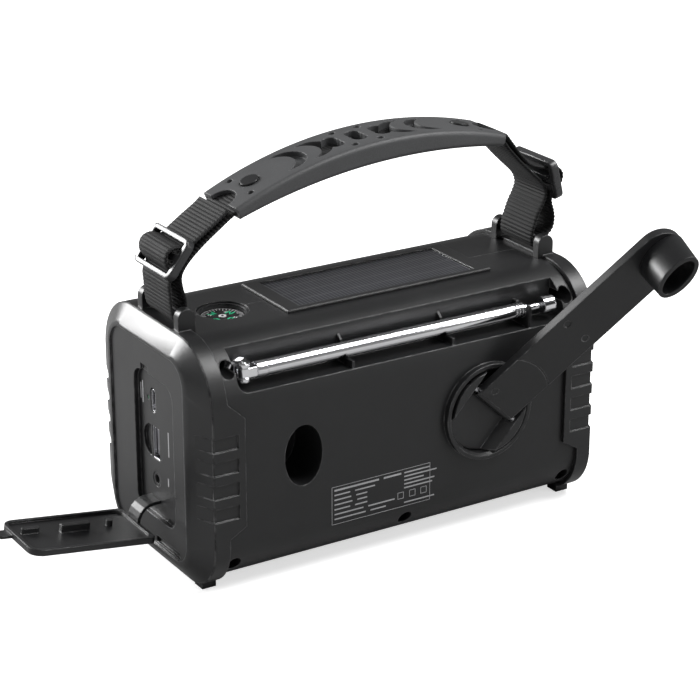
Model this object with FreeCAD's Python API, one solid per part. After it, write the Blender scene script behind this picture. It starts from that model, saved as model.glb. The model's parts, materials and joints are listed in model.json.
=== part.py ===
"""Hand-crank emergency radio: one STEP file per physical piece, in millimetres.

Axes: +X towards the ports end, +Y towards the rear (crank and antenna side), +Z up.
Heights are drawn from the underside of the end bumpers. Everything is lowered by
case_z0 as it is written, so z = 0 is the flat underside of the case.
"""
import FreeCAD
import Part
import math
import os

V = FreeCAD.Vector

# ---------------------------------------------------------------- overall sizes
LENGTH = 182.6  # over both end caps
DEPTH = 87.8  # over the bumpers, front to rear
HEIGHT = 97.9  # over the bumpers, without feet or ears
FOOT_H = 1.0
CORNER_TOP = 24.0  # outline radius of the top long edges
CORNER_BOT = 21.0

# ---------------------------------------------------------------- case
WALL = 2.4
BUMPER_PROUD = 1.5  # bumper surface above the case surface
BEVEL_X = 5.0  # end cap bevel, along the length
BEVEL_Y = 12.8  # bevel width at the sides
BEVEL_Z = 6.9  # bevel width at the top and bottom
PANEL_R = 11.0
PANEL_LIP = 1.5  # rim left round the sunk end panel
PANEL_STEP = 0.7
BUMPER_MID = 13.3  # bumper width over its middle
BUMPER_EDGE = 6.3  # bumper width above and below the step
BUMPER_STEP = 20.4  # height of the step below the top
BUMPER_STEP_BOT = 23.5
BUMPER_STEP_RISE = 6.5
CAP_SPIGOT = 4.3  # how far an end cap reaches in under its bumper
PARTING_Y = 0.5
FIT = 0.1  # seat clearance between fixed pieces
GAP = 0.35  # clearance between curved faces that move
RUN = 0.04  # running clearance of a pin or shaft, on the radius
PAD_PITCH = 9.35
PAD_H = 5.4
PAD_DEPTH = 0.7
PAD_RUN = 9.0  # how far a pad runs on over the bevel, fading out
FOOT_LEN = 6.5
FOOT_WIDTH = 6.0

half_len = LENGTH / 2
half_height = HEIGHT / 2
crease_x = half_len - BEVEL_X
bump_y = DEPTH / 2
case_y = bump_y - BUMPER_PROUD
case_z0 = BUMPER_PROUD - 0.3
case_z1 = HEIGHT - case_z0
shell_x = crease_x - CAP_SPIGOT
in_y = case_y - WALL
in_z0 = case_z0 + WALL
in_z1 = case_z1 - WALL
step_top_z = HEIGHT - BUMPER_STEP
pad_top_z = half_height + 13.35
foot_y = bump_y - 15.9

# ---------------------------------------------------------------- antenna and its groove
GROOVE_DEPTH_Y = 14.0  # from the rear of the bumpers to the groove's back wall
GROOVE_DEPTH_Z = 18.5  # from the top of the bumpers to the groove's floor
GROOVE_R = 4.0
ANT_TUBE_R = 3.0
ANT_MID_R = 2.1
ANT_ROD_R = 1.3
ANT_TIP_R = 3.4
ANT_TIP_L = 5.3
ANT_COLLAR = 4.3  # ringed end of the outer tube
ANT_DISC_R = 4.3
ANT_DISC_H = 1.9
ANT_STEM_R = 2.5
ANT_EAR_GAP = 3.9
ANT_EAR_T = 1.7
ANT_PIN_R = 1.0

groove_x0 = -crease_x + 12.5
groove_x1 = crease_x - 12.7
groove_floor_z = HEIGHT - GROOVE_DEPTH_Z
groove_back_y = bump_y - GROOVE_DEPTH_Y
ant_x = groove_x1 - ANT_DISC_R - 0.5
ant_y = groove_back_y + 5.8
ant_z = groove_floor_z + 6.1
ant_tip_x1 = groove_x0 + 3.2
ant_tip_x0 = ant_tip_x1 + ANT_TIP_L
ant_mid_end = ant_tip_x0 + 7.6
ant_tube_end = ant_mid_end + 1.8

# ---------------------------------------------------------------- crank
CRANK_X = -35.5
CRANK_SPIN = 46.9  # degrees up from the -X direction
CRANK_TILT = 18.7  # degrees out from the rear face
DISC_R = 17.0
RING_W = 2.9
RING_H = 2.6
DISC_H = 3.2  # disc face above the case surface
DISC_T = 9.0
ARM_W = 20.5
ARM_T = 5.0
HINGE_OFF = 3.7
HINGE_H = 1.2  # hinge pin above the case surface
HINGE_PIN_R = 1.1
BARREL_R = 2.1
KNOB_REACH = 83.0  # from the crank's centre to the knob, folded away
KNOB_RIM = (11.9, 19.9)
KNOB_BASE = (13.6, 21.2)
KNOB_H = 15.4
KNOB_TURN = 96.3  # degrees from the way it is stowed
KNOB_WALL = 1.8
STUD_R = 2.2
HOLE_W = 16.2
HOLE_H = 24.6
HOLE_DEPTH = 20.0
SHAFT_R = 3.0

crank_z = half_height + 0.75

# ---------------------------------------------------------------- gears and dynamo
MODULE = 1.0
WHEEL_TEETH = 42
PINION_TEETH = 14
PRESSURE = 25.0
BACKLASH = 0.30
GEAR_W = 4.0
PLATE_T = 2.6
DYNAMO_R = 12.0
DYNAMO_L = 17.0
AXLE_R = 1.5

stage_1_y = in_y - 14.5
stage_2_y = stage_1_y - GEAR_W - 1.0
plate_y = stage_2_y - 5.5

# ---------------------------------------------------------------- top
SOLAR_W = 36.0
SOLAR_RISE = 1.3
SOLAR_END = 6.55  # frame beyond each end of the cells
CELL_W = 30.0
COMPASS_Y = 1.3
COMPASS_R = 10.0
COMPASS_DIAL_R = 8.6

compass_x = crease_x - 27.8
solar_x0 = -crease_x + 32.7
solar_x1 = crease_x - 46.8

# ---------------------------------------------------------------- handle
EAR_RISE = 4.6  # bar above the top of the bumpers
EAR_T = 3.6
EAR_R = 3.6
WEB_W = 22.0
WEB_T = 1.6
EAR_GAP = 25.6
BAR_R = 1.8
GRIP_R = 173.0  # radius of the grip's back
GRIP_CX = -16.3
GRIP_RISE = 58.5  # top of the grip above the top of the bumpers
GRIP_TILT = 4.86  # degrees, the ports end hangs lower
GRIP_HALF = 20.57  # half of the grip's arc, degrees
GRIP_W = 26.5
GRIP_T_MID = 8.6
GRIP_T_END = 5.0
GRIP_SLOT = 20.0
RIVET_R = 2.0
RIVET_HEAD = 3.6
NOTCH_R = 6.5
BUCKLE_W = 28.0
BUCKLE_H = 16.6
BUCKLE_T = 3.4
BUCKLE_BAR = 2.0
BUCKLE_R0 = 3.0  # its outer corners

ear_x = crease_x - 4.8
ear_z = HEIGHT + EAR_RISE
bar_half = EAR_GAP / 2 + EAR_T - 1.0
grip_top_z = HEIGHT + GRIP_RISE
BUCKLE_L = (ear_x + 0.2, HEIGHT + 25.8, 126.9)  # x, z, direction of its plate in degrees
BUCKLE_R = (-ear_x - 6.7, HEIGHT + 29.3, 76.0)

# ---------------------------------------------------------------- ports end
RECESS_Y0 = -11.0
RECESS_Y1 = 20.2
RECESS_Z0 = 19.5
RECESS_D = 2.6
RECESS_R = 6.0
USB_C_SIZE = (8.94, 3.16)
USB_A_SIZE = (13.15, 5.7)
JACK_R = 3.0
PORT_RIM = 0.5
JACK_BORE = 1.78
BOARD_Y = -0.5
COVER_Y0 = -10.4
COVER_Y1 = 19.6
COVER_T = 1.5
COVER_RIM = 0.9
COVER_OPEN = 82.0  # degrees from closed to the photographed pose
COVER_TAB = 5.0
COVER_EDGE_OUT = 7.2  # hinge edge of the open cover, out from the end face
COVER_EDGE_Z = 18.6
STRAP_W = 8.2
STRAP_T = 1.2

recess_z1 = HEIGHT - 20.4
cover_len = recess_z1 - RECESS_Z0 - 7.5
COVER_EDGE_X = half_len + COVER_EDGE_OUT
USB_C = (BOARD_Y + USB_C_SIZE[1] / 2, recess_z1 - 11.2, USB_C_SIZE[0], USB_C_SIZE[1])
USB_A = (BOARD_Y + USB_A_SIZE[1] / 2, RECESS_Z0 + 29.7, USB_A_SIZE[0], USB_A_SIZE[1])
JACK = (BOARD_Y + 2.5, RECESS_Z0 + 14.7, JACK_R)

# ---------------------------------------------------------------- inside and front
SCREW_HEAD_R = 2.6
SCREW_R = 1.35
BOSS_R = 4.4
CELL_R = 9.2
CELL_LEN = 65.0
SPEAKER_X = -42.0
SPEAKER_R = 20.5
BUTTON_X = (8.0, 22.0, 36.0, 50.0)
BUTTON_Z = 29.5
BUTTON_R = 4.6
BUTTON_TRAVEL = 0.8
TORCH_R = 21.0
BIG = 400.0

screw_x = crease_x - 10.0
speaker_z = crank_z
main_y = -in_y + 6.4
torch_z = half_height + 1.05
WINDOW = (2.0, 56.0, 42.0, case_z1 - CORNER_TOP - 1.7)  # x0, x1, z0, z1


# ---------------------------------------------------------------- helpers
def box(x0, x1, y0, y1, z0, z1):
    return Part.makeBox(x1 - x0, y1 - y0, z1 - z0, V(x0, y0, z0))


def rod(r, start, end):
    a = V(*start)
    d = V(*end) - a
    return Part.makeCylinder(r, d.Length, a, d)


def ring(r_out, r_in, start, end):
    a = V(*start)
    d = V(*end) - a
    over = V(d).normalize()
    hole = Part.makeCylinder(r_in, d.Length + 2, a - over, d)
    return Part.makeCylinder(r_out, d.Length, a, d).cut(hole)


def fuse(shapes):
    shapes = list(shapes)
    if len(shapes) == 1:
        return shapes[0]
    return shapes[0].multiFuse(shapes[1:]).removeSplitter()


def cut(shape, tools):
    return shape.cut(list(tools))


def outline(x, y0, y1, z0, z1, r_top, r_bot):
    """Closed wire in the plane at x: a rectangle with round corners."""

    def arc(cy, cz, r, start):
        turns = [math.radians(start + t) for t in (0, 45, 90)]
        return Part.Arc(*[V(x, cy + r * math.cos(t), cz + r * math.sin(t)) for t in turns]).toShape()

    def line(a, b):
        return Part.makeLine(V(x, *a), V(x, *b))

    edges = [
        line((y1, z0 + r_bot), (y1, z1 - r_top)),
        arc(y1 - r_top, z1 - r_top, r_top, 0),
        line((y1 - r_top, z1), (y0 + r_top, z1)),
        arc(y0 + r_top, z1 - r_top, r_top, 90),
        line((y0, z1 - r_top), (y0, z0 + r_bot)),
        arc(y0 + r_bot, z0 + r_bot, r_bot, 180),
        line((y0 + r_bot, z0), (y1 - r_bot, z0)),
        arc(y1 - r_bot, z0 + r_bot, r_bot, 270),
    ]
    return Part.Wire(edges)


def prism(x0, x1, y0, y1, z0, z1, r_top, r_bot=None):
    wire = outline(x0, y0, y1, z0, z1, r_top, r_top if r_bot is None else r_bot)
    return Part.Face(wire).extrude(V(x1 - x0, 0, 0))


def case_solid(inset, x0, x1):
    return prism(
        x0, x1, inset - case_y, case_y - inset, case_z0 + inset, case_z1 - inset,
        CORNER_TOP - inset, CORNER_BOT - inset,
    )


def bump_solid(x0, x1):
    return prism(x0, x1, -bump_y, bump_y, 0, HEIGHT, CORNER_TOP, CORNER_BOT)


def poly_xz(points, y0, y1):
    """Prism along Y over a closed outline of (x, z) points."""
    pts = [V(x, y0, z) for x, z in points]
    pts.append(pts[0])
    return Part.Face(Part.makePolygon(pts)).extrude(V(0, y1 - y0, 0))


def flip_x(shape):
    return shape.mirror(V(0, 0, 0), V(1, 0, 0))


def flip_y(shape):
    return shape.mirror(V(0, 0, 0), V(0, 1, 0))


def band(path, t, y0, y1):
    """A strip t thick that follows the (x, z) points of path."""
    left = []
    right = []
    for i, (x, z) in enumerate(path):
        ax, az = path[max(i - 1, 0)]
        bx, bz = path[min(i + 1, len(path) - 1)]
        d1 = V(x - ax, z - az, 0)
        d2 = V(bx - x, bz - z, 0)
        if d1.Length < 1e-9:
            d1 = d2
        if d2.Length < 1e-9:
            d2 = d1
        d1.normalize()
        d2.normalize()
        m = V(-(d1.y + d2.y), d1.x + d2.x, 0).normalize()
        reach = t / 2 / max(0.4, m.dot(V(-d1.y, d1.x, 0)))
        left.append((x + m.x * reach, z + m.y * reach))
        right.append((x - m.x * reach, z - m.y * reach))
    return poly_xz(left + right[::-1], y0, y1)


def ellipse_wire(cx, cz, w, h, y):
    turn = w < h
    e = Part.Ellipse(V(0, 0, 0), max(w, h) / 2, min(w, h) / 2).toShape()
    wire = Part.Wire([e])
    if turn:
        wire.rotate(V(0, 0, 0), V(0, 0, 1), 90)
    wire.rotate(V(0, 0, 0), V(1, 0, 0), -90)
    wire.translate(V(cx, y, cz))
    return wire


def ellipse_prism(cx, cz, w, h, y0, y1):
    return Part.Face(ellipse_wire(cx, cz, w, h, y0)).extrude(V(0, y1 - y0, 0))


def gear(teeth, width, cx, y, cz, turn, bore):
    """Involute spur gear about the Y axis, its first tooth at the angle turn."""
    alpha = math.radians(PRESSURE)
    r = MODULE * teeth / 2
    rb = r * math.cos(alpha)
    ra = r + 0.95 * MODULE
    rf = r - 1.25 * MODULE
    inv = math.tan(alpha) - alpha
    half = math.pi / (2 * teeth) - BACKLASH / 2 / (2 * r)

    def flank(radius):
        a = math.acos(min(1.0, rb / radius))
        return half + inv - (math.tan(a) - a)

    start = max(rb, rf + 0.05)
    radii = [start + (ra - start) * i / 5 for i in range(6)]
    edges = []
    first = None
    last = None
    for k in range(teeth):
        mid = math.radians(turn) + 2 * math.pi * k / teeth
        up = [(q, mid - flank(q)) for q in radii]
        down = [(q, mid + flank(q)) for q in reversed(radii)]
        foot_a = (rf, up[0][1])
        foot_b = (rf, down[-1][1])

        def at(polar):
            return V(cx + polar[0] * math.cos(polar[1]), y, cz + polar[0] * math.sin(polar[1]))

        pts = [at(foot_a)] + [at(q) for q in up]
        if last is not None:
            edges.append(Part.makeLine(last, pts[0]))
        if first is None:
            first = pts[0]
        for a, b in zip(pts, pts[1:]):
            edges.append(Part.makeLine(a, b))
        tip = [at(q) for q in down] + [at(foot_b)]
        edges.append(Part.makeLine(pts[-1], tip[0]))
        for a, b in zip(tip, tip[1:]):
            edges.append(Part.makeLine(a, b))
        last = tip[-1]
    edges.append(Part.makeLine(last, first))
    body = Part.Face(Part.Wire(edges)).extrude(V(0, width, 0))
    return body.cut(rod(bore, (cx, y - 1, cz), (cx, y + width + 1, cz)))


pieces = {}


def keep(name, shape):
    solid = shape.removeSplitter() if hasattr(shape, "removeSplitter") else shape
    solid = solid.copy()
    solid.translate(V(0, 0, -case_z0))
    pieces[name] = solid


# ---------------------------------------------------------------- crank frame, used by case and arm
spin = math.radians(CRANK_SPIN)
crank_out = V(-math.cos(spin), 0, math.sin(spin))
crank_side = V(math.sin(spin), 0, math.cos(spin))
crank_c = V(CRANK_X, 0, crank_z)
hinge_y = case_y + HINGE_H
hinge_c = crank_c + crank_out * HINGE_OFF + V(0, hinge_y, 0)


def place_crank(shape):
    """From a flat drawing with +X along the arm, +Y outwards and the spin axis at the origin."""
    s = shape.copy()
    s.rotate(V(0, 0, 0), V(0, 1, 0), 180 + CRANK_SPIN)
    s.translate(crank_c)
    return s


def place_arm(shape):
    """From a flat drawing with its origin on the hinge pin."""
    s = shape.copy()
    s.rotate(V(0, 0, 0), V(0, 0, 1), CRANK_TILT)
    s.translate(V(HINGE_OFF, hinge_y, 0))
    return place_crank(s)


# ---------------------------------------------------------------- screw places
screw_top = (screw_x, HEIGHT - 9.9)
screw_bot = (screw_x, 10.8)
screw_mid = (0.0, 10.8)
corner_screws = [(s * x, z) for x, z in (screw_top, screw_bot) for s in (-1, 1)]
HEAD_Y = bump_y - 19.9
BOSS_FRONT = 12.0
MID_HEAD_Y = bump_y - 10.9
MID_BOSS_Y = bump_y - 17.9

# ---------------------------------------------------------------- rear shell
hollow = case_solid(WALL, -shell_x - 1, shell_x + 1)
skin = case_solid(0, -shell_x, shell_x)
rear_half = box(-BIG, BIG, PARTING_Y, BIG, -BIG, BIG)
front_half = box(-BIG, BIG, -BIG, PARTING_Y, -BIG, BIG)
rear_zone = skin.common(rear_half)

trough_x = (groove_x0 - WALL, groove_x1 + WALL)
trough = box(*trough_x, groove_back_y - WALL, case_y, groove_floor_z - WALL, BIG)
rear_bosses = []
for x, z in corner_screws:
    rear_bosses.append(rod(BOSS_R, (x, PARTING_Y, z), (x, case_y, z)))
mid_x, mid_z = screw_mid
rear_bosses.append(rod(BOSS_R, (mid_x, MID_BOSS_Y, mid_z), (mid_x, case_y, mid_z)))
cup = ellipse_prism(
    CRANK_X + KNOB_REACH, crank_z, HOLE_W + 2 * 1.6, HOLE_H + 2 * 1.6, case_y - HOLE_DEPTH - 1.6, case_y,
)
disc_floor_y = case_y + DISC_H - DISC_T - 0.6
disc_cup = rod(DISC_R + RING_W, (CRANK_X, disc_floor_y - WALL, crank_z), (CRANK_X, case_y, crank_z))
sleeve = rod(SHAFT_R + 3.5, (CRANK_X, disc_floor_y - 6, crank_z), (CRANK_X, disc_floor_y, crank_z))
rear = rear_zone.cut(hollow)
inner_add = fuse([trough, cup, disc_cup, sleeve] + rear_bosses).common(rear_zone)
rear = fuse([rear, inner_add])
ring_body = rod(DISC_R + RING_W, (CRANK_X, case_y - 0.5, crank_z), (CRANK_X, case_y + RING_H, crank_z))
rear = fuse([rear, ring_body])
groove = box(groove_x0, groove_x1, groove_back_y, BIG, groove_floor_z, BIG)
groove_ends = []
for e in groove.Edges:
    b = e.BoundBox
    if b.ZMax < groove_floor_z + 0.01 and b.XLength < 0.01:
        groove_ends.append(e)
groove = groove.makeFillet(GROOVE_R, groove_ends)
ring_top = case_y + RING_H
seat_r = DISC_R + GAP
ring_lead = Part.makeCone(seat_r, seat_r + 1.2, 1.2, V(CRANK_X, ring_top - 1.0, crank_z), V(0, 1, 0))
rear_cuts = [
    ring_lead,
    groove,
    ellipse_prism(CRANK_X + KNOB_REACH, crank_z, HOLE_W, HOLE_H, case_y - HOLE_DEPTH, BIG),
    rod(seat_r, (CRANK_X, disc_floor_y, crank_z), (CRANK_X, BIG, crank_z)),
    rod(SHAFT_R + 1.2, (CRANK_X, disc_floor_y - 20, crank_z), (CRANK_X, disc_floor_y + 1, crank_z)),
    rod(ANT_STEM_R + RUN, (ant_x, groove_back_y - 9, ant_z), (ant_x, groove_back_y + 1, ant_z)),
    rod(COMPASS_R, (compass_x, COMPASS_Y, in_z1 - 1), (compass_x, COMPASS_Y, BIG)),
]
for x, z in corner_screws:
    rear_cuts.append(rod(SCREW_HEAD_R + 0.3, (x, HEAD_Y - 2, z), (x, BIG, z)))
    rear_cuts.append(rod(SCREW_R + 0.2, (x, -1, z), (x, BIG, z)))
rear_cuts.append(rod(SCREW_HEAD_R + 0.3, (mid_x, MID_HEAD_Y - 2, mid_z), (mid_x, BIG, mid_z)))
rear_cuts.append(rod(SCREW_R + 0.2, (mid_x, MID_BOSS_Y - 2, mid_z), (mid_x, BIG, mid_z)))
rear = cut(rear, rear_cuts)
ribs = []
rib_top = groove_floor_z + 10.8
for x in (24.8, -20.4):
    rib_z = (groove_floor_z - 0.5, groove_floor_z + 2.8)
    ribs.append(box(x - 0.5, x + 0.5, groove_back_y - 0.5, case_y - 1.5, *rib_z))
    slant = [(groove_back_y - 0.5, groove_floor_z), (groove_back_y + 2.2, groove_floor_z)]
    slant += [(groove_back_y + 2.2, rib_top - 2.2), (groove_back_y - 0.5, rib_top)]
    slant.append(slant[0])
    gusset = Part.Face(Part.makePolygon([V(x - 0.5, y, z) for y, z in slant]))
    ribs.append(gusset.extrude(V(1.0, 0, 0)))
cradle_x = ant_tip_x0 + 8.8
cradle_z = (groove_floor_z - 0.5, ant_z + 2.6)
cradle = box(cradle_x - 0.7, cradle_x + 0.7, groove_back_y - 0.5, case_y - 1.5, *cradle_z)
cradle_slot = rod(ANT_TUBE_R + 0.3, (cradle_x - 5, ant_y, ant_z), (cradle_x + 5, ant_y, ant_z))
slot_y = ANT_TUBE_R + 0.3
open_top = box(cradle_x - 5, cradle_x + 5, ant_y - slot_y, ant_y + slot_y, ant_z, BIG)
cradle = cradle.cut([cradle_slot, open_top])
rear = fuse([rear, cradle] + ribs)
keep("rear_shell", rear)

# ---------------------------------------------------------------- front shell
front = skin.common(front_half).cut(hollow)
front_bosses = []
for x, z in corner_screws:
    front_bosses.append(rod(BOSS_R, (x, PARTING_Y - BOSS_FRONT, z), (x, PARTING_Y, z)))
    side = 1 if z > crank_z else -1
    wall_z = in_z1 + 0.5 if side > 0 else in_z0 - 0.5
    front_bosses.append(box(x - 1, x + 1, PARTING_Y - BOSS_FRONT, PARTING_Y, min(z, wall_z), max(z, wall_z)))
post_x = (WINDOW[0] - 6, WINDOW[1] + 6)
post_places = [(x, z) for x in post_x for z in (24.0, HEIGHT - 17.9)]
for x, z in post_places:
    front_bosses.append(rod(3.0, (x, -case_y + 1, z), (x, main_y, z)))
ferrite_y = -in_y + 24.0
ferrite_z = HEIGHT - 13.4
for x in (-38.0, 38.0):
    front_bosses.append(box(x - 1.2, x + 1.2, ferrite_y - 6, ferrite_y + 6, ferrite_z - 6, in_z1 + 0.5))
front = fuse([front, fuse(front_bosses).common(skin)])
front_cuts = [
    rod(COMPASS_R, (compass_x, COMPASS_Y, in_z1 - 1), (compass_x, COMPASS_Y, BIG)),
    rod(4.0, (-45, ferrite_y, ferrite_z), (45, ferrite_y, ferrite_z)),
    box(WINDOW[0], WINDOW[1], -BIG, -case_y + 1.2, WINDOW[2], WINDOW[3]),
    box(WINDOW[0] + 2, WINDOW[1] - 2, -BIG, -in_y + 1, WINDOW[2] + 2, WINDOW[3] - 2),
]
for x, z in corner_screws:
    front_cuts.append(rod(SCREW_R, (x, PARTING_Y - BOSS_FRONT + 1.5, z), (x, 5, z)))
for x in BUTTON_X:
    front_cuts.append(rod(BUTTON_R + GAP, (x, -BIG, BUTTON_Z), (x, -in_y + 1, BUTTON_Z)))
for row in range(-4, 5):
    for col in range(-4, 5):
        dx = col * 4.6 + (2.3 if row % 2 else 0.0)
        dz = row * 4.6
        if math.hypot(dx, dz) < SPEAKER_R - 4.0:
            x = SPEAKER_X + dx
            z = speaker_z + dz
            front_cuts.append(rod(1.4, (x, -case_y - 2, z), (x, -in_y + 1, z)))
front = cut(front, front_cuts)
keep("front_shell", front)

# ---------------------------------------------------------------- bumpers
def bumper():
    x0 = crease_x - BUMPER_MID
    x1 = crease_x - BUMPER_EDGE
    body = bump_solid(x0, crease_x).cut(case_solid(0, x0 - 1, crease_x + 1))
    for y0, y1 in ((10.0, BIG), (-BIG, -10.0)):
        top = poly_xz(
            [(x0 - 1, step_top_z - BUMPER_STEP_RISE), (x0, step_top_z - BUMPER_STEP_RISE),
             (x1, step_top_z), (x1, HEIGHT + 9), (x0 - 1, HEIGHT + 9)], y0, y1)
        bot = poly_xz(
            [(x0 - 1, BUMPER_STEP_BOT + 4.0), (x0, BUMPER_STEP_BOT + 4.0),
             (x1, BUMPER_STEP_BOT), (x1, -9), (x0 - 1, -9)], y0, y1)
        body = body.cut(top).cut(bot)
    body = body.cut(box(x0 - 1, x1, -BIG, BIG, HEIGHT - 12, BIG))
    body = body.cut(box(x0 - 1, x1, -BIG, BIG, -BIG, 8))
    return body


def grip_pads():
    tools = []
    pad_x0 = crease_x - BUMPER_MID + 2.9
    bevel = math.degrees(math.atan2(BEVEL_Y, BEVEL_X))
    fade = math.degrees(math.asin(PAD_DEPTH / PAD_RUN))
    for i in range(4):
        z = pad_top_z - PAD_PITCH * i
        side = box(pad_x0, crease_x + 0.01, bump_y - PAD_DEPTH, bump_y + 5, z - PAD_H / 2, z + PAD_H / 2)
        slope = box(-0.01, PAD_DEPTH + 5, -PAD_RUN, 0.4, z - PAD_H / 2, z + PAD_H / 2)
        slope.translate(V(-PAD_DEPTH, 0, 0))
        slope.rotate(V(-PAD_DEPTH, 0, 0), V(0, 0, 1), fade)
        slope.rotate(V(0, 0, 0), V(0, 0, 1), 90 - bevel)
        slope.translate(V(crease_x, bump_y, 0))
        tools += [side, slope]
    tools = fuse(tools)
    return fuse([tools, flip_y(tools)])


pads = grip_pads()


def ears(shape):
    parts = [shape]
    for s in (-1, 1):
        y0 = s * EAR_GAP / 2
        y1 = s * (EAR_GAP / 2 + EAR_T)
        lo, hi = min(y0, y1), max(y0, y1)
        post = box(ear_x - EAR_R, ear_x + EAR_R, lo, hi, case_z1, ear_z)
        parts.append(post)
        parts.append(rod(EAR_R, (ear_x, lo, ear_z), (ear_x, hi, ear_z)))
    for s in (-1, 1):
        y0 = s * foot_y
        foot = box(crease_x - FOOT_LEN, crease_x - 0.6, -FOOT_WIDTH / 2, FOOT_WIDTH / 2, -FOOT_H, 3.0)
        foot.translate(V(0, y0, 0))
        parts.append(foot)
    body = fuse(parts)
    body = body.cut(case_solid(0, 0, crease_x + 1))
    return body.cut(rod(BAR_R, (ear_x, -bar_half, ear_z), (ear_x, bar_half, ear_z)))


bumper_ports = ears(bumper()).cut(pads)
keep("bumper_ports", bumper_ports)
keep("bumper_torch", flip_x(bumper_ports))


# ---------------------------------------------------------------- end caps
def end_cap():
    base = outline(crease_x, -bump_y, bump_y, 0, HEIGHT, CORNER_TOP, CORNER_BOT)
    face = outline(half_len, -bump_y + BEVEL_Y, bump_y - BEVEL_Y, BEVEL_Z, HEIGHT - BEVEL_Z, PANEL_R, PANEL_R)
    bevel = Part.makeLoft([base, face], True, True)
    spigot = case_solid(0, shell_x, crease_x)
    y1 = bump_y - BEVEL_Y - PANEL_LIP
    z0 = BEVEL_Z + PANEL_LIP
    panel = prism(half_len - PANEL_STEP, half_len + 5, -y1, y1, z0, HEIGHT - z0, PANEL_R - PANEL_LIP)
    return fuse([bevel, spigot]).cut([pads, panel])


cap_in = half_len - RECESS_D - WALL
cap = end_cap()
ports_cap = cap.cut(
    prism(shell_x - 1, cap_in, -bump_y + 16, bump_y - 16, 13.0, HEIGHT - 13.0, 9.0)
)
recess = prism(half_len - RECESS_D, half_len + 9, RECESS_Y0, RECESS_Y1, RECESS_Z0, recess_z1, RECESS_R)
cy, cz, ch, cw = USB_C
ay, az, ah, aw = USB_A
jy, jz, jr = JACK
port_cuts = [
    recess,
    prism(cap_in - 1, BIG, cy - cw / 2, cy + cw / 2, cz - ch / 2, cz + ch / 2, cw / 2 - 0.01),
    prism(
        half_len - RECESS_D - 0.5, BIG, cy - cw / 2 - PORT_RIM, cy + cw / 2 + PORT_RIM,
        cz - ch / 2 - PORT_RIM, cz + ch / 2 + PORT_RIM, cw / 2 + PORT_RIM - 0.01,
    ),
    box(cap_in - 1, BIG, ay - aw / 2, ay + aw / 2, az - ah / 2, az + ah / 2),
    rod(jr, (cap_in - 1, jy, jz), (BIG, jy, jz)),
    rod(0.8, (cap_in - 1, cy - 4.0, cz), (BIG, cy - 4.0, cz)),
    box(half_len - 1.6, BIG, -5.0, 1.0, recess_z1 - 0.5, recess_z1 + 2.6),
    box(half_len - 1.8, BIG, 4.0, 23.0, 9.5, 12.0),
    box(cap_in - 1, BIG, 0.7 - STRAP_W / 2, 0.7 + STRAP_W / 2, 25.6 - STRAP_T / 2, 25.6 + STRAP_T / 2),
]
moon = rod(6.4, (half_len - RECESS_D - 1.2, ay - aw / 2 - 1.0, az), (BIG, ay - aw / 2 - 1.0, az))
moon = moon.common(box(0, BIG, -BIG, ay - aw / 2 - 1.0, -BIG, BIG))
port_cuts.append(moon)
port_cuts.append(box(cap_in - 1, BIG, ay - aw / 2 - 1.9, ay - aw / 2 - 1.0, az - 5.8, az + 5.8))
keep("end_cap_ports", cut(ports_cap, port_cuts))

torch_cap = flip_x(cap)
torch_step = 2.2
torch_cuts = [
    rod(TORCH_R + 1.5, (-half_len - 5, 0, torch_z), (-half_len + torch_step, 0, torch_z)),
    rod(TORCH_R, (-half_len - 5, 0, torch_z), (-shell_x + 5, 0, torch_z)),
]
keep("end_cap_torch", cut(torch_cap, torch_cuts))
keep("torch_lens", rod(TORCH_R + 1.4, (-half_len + 0.4, 0, torch_z), (-half_len + torch_step, 0, torch_z)))
bowl_x0 = -half_len + torch_step
bowl_x1 = -half_len + 18.0
bowl = Part.makeCone(TORCH_R, 7.0, bowl_x1 - bowl_x0, V(bowl_x0, 0, torch_z), V(1, 0, 0))
bowl_in = Part.makeCone(TORCH_R - 1.2, 4.6, bowl_x1 - bowl_x0 - 1.2, V(bowl_x0, 0, torch_z), V(1, 0, 0))
bowl = bowl.cut(bowl_in).cut(rod(3.0, (bowl_x0, 0, torch_z), (bowl_x1 + 1, 0, torch_z)))
keep("torch_reflector", bowl)
led = fuse([
    rod(8.0, (bowl_x1, 0, torch_z), (bowl_x1 + 1.6, 0, torch_z)),
    rod(2.5, (bowl_x1 - 2.6, 0, torch_z), (bowl_x1 + 0.5, 0, torch_z)),
])
keep("torch_led", led)

# ---------------------------------------------------------------- port sockets on their board
sock_x1 = half_len - RECESS_D - 0.2
board_x0 = cap_in - 24.3
usb_c = prism(sock_x1 - 7.5, sock_x1, cy - cw / 2, cy + cw / 2, cz - ch / 2, cz + ch / 2, cw / 2 - 0.01)
usb_c = usb_c.cut(prism(sock_x1 - 6.3, sock_x1 + 1, cy - 1.28, cy + 1.28, cz - 4.17, cz + 4.17, 1.27))
usb_c = fuse([usb_c, box(sock_x1 - 7.0, sock_x1 - 1.2, cy - 0.35, cy + 0.35, cz - 3.3, cz + 3.3)])
keep("usb_c_socket", usb_c)
usb_a = box(sock_x1 - 14.0, sock_x1, ay - aw / 2, ay + aw / 2, az - ah / 2, az + ah / 2)
a_y = aw / 2 - 0.3
a_z = ah / 2 - 0.3
usb_a = usb_a.cut(box(sock_x1 - 12.8, sock_x1 + 1, ay - a_y, ay + a_y, az - a_z, az + a_z))
tongue_a = box(sock_x1 - 13.0, sock_x1 - 1.5, ay - aw / 2 + 0.8, ay - aw / 2 + 2.1, az - 5.5, az + 5.5)
keep("usb_a_socket", fuse([usb_a, tongue_a]))
jack_h = (jy - BOARD_Y) * 2
jack = fuse([
    box(cap_in - 12.0, cap_in, BOARD_Y, BOARD_Y + jack_h, jz - 3.0, jz + 3.0),
    rod(jr, (cap_in - 1, jy, jz), (sock_x1, jy, jz)),
])
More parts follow.
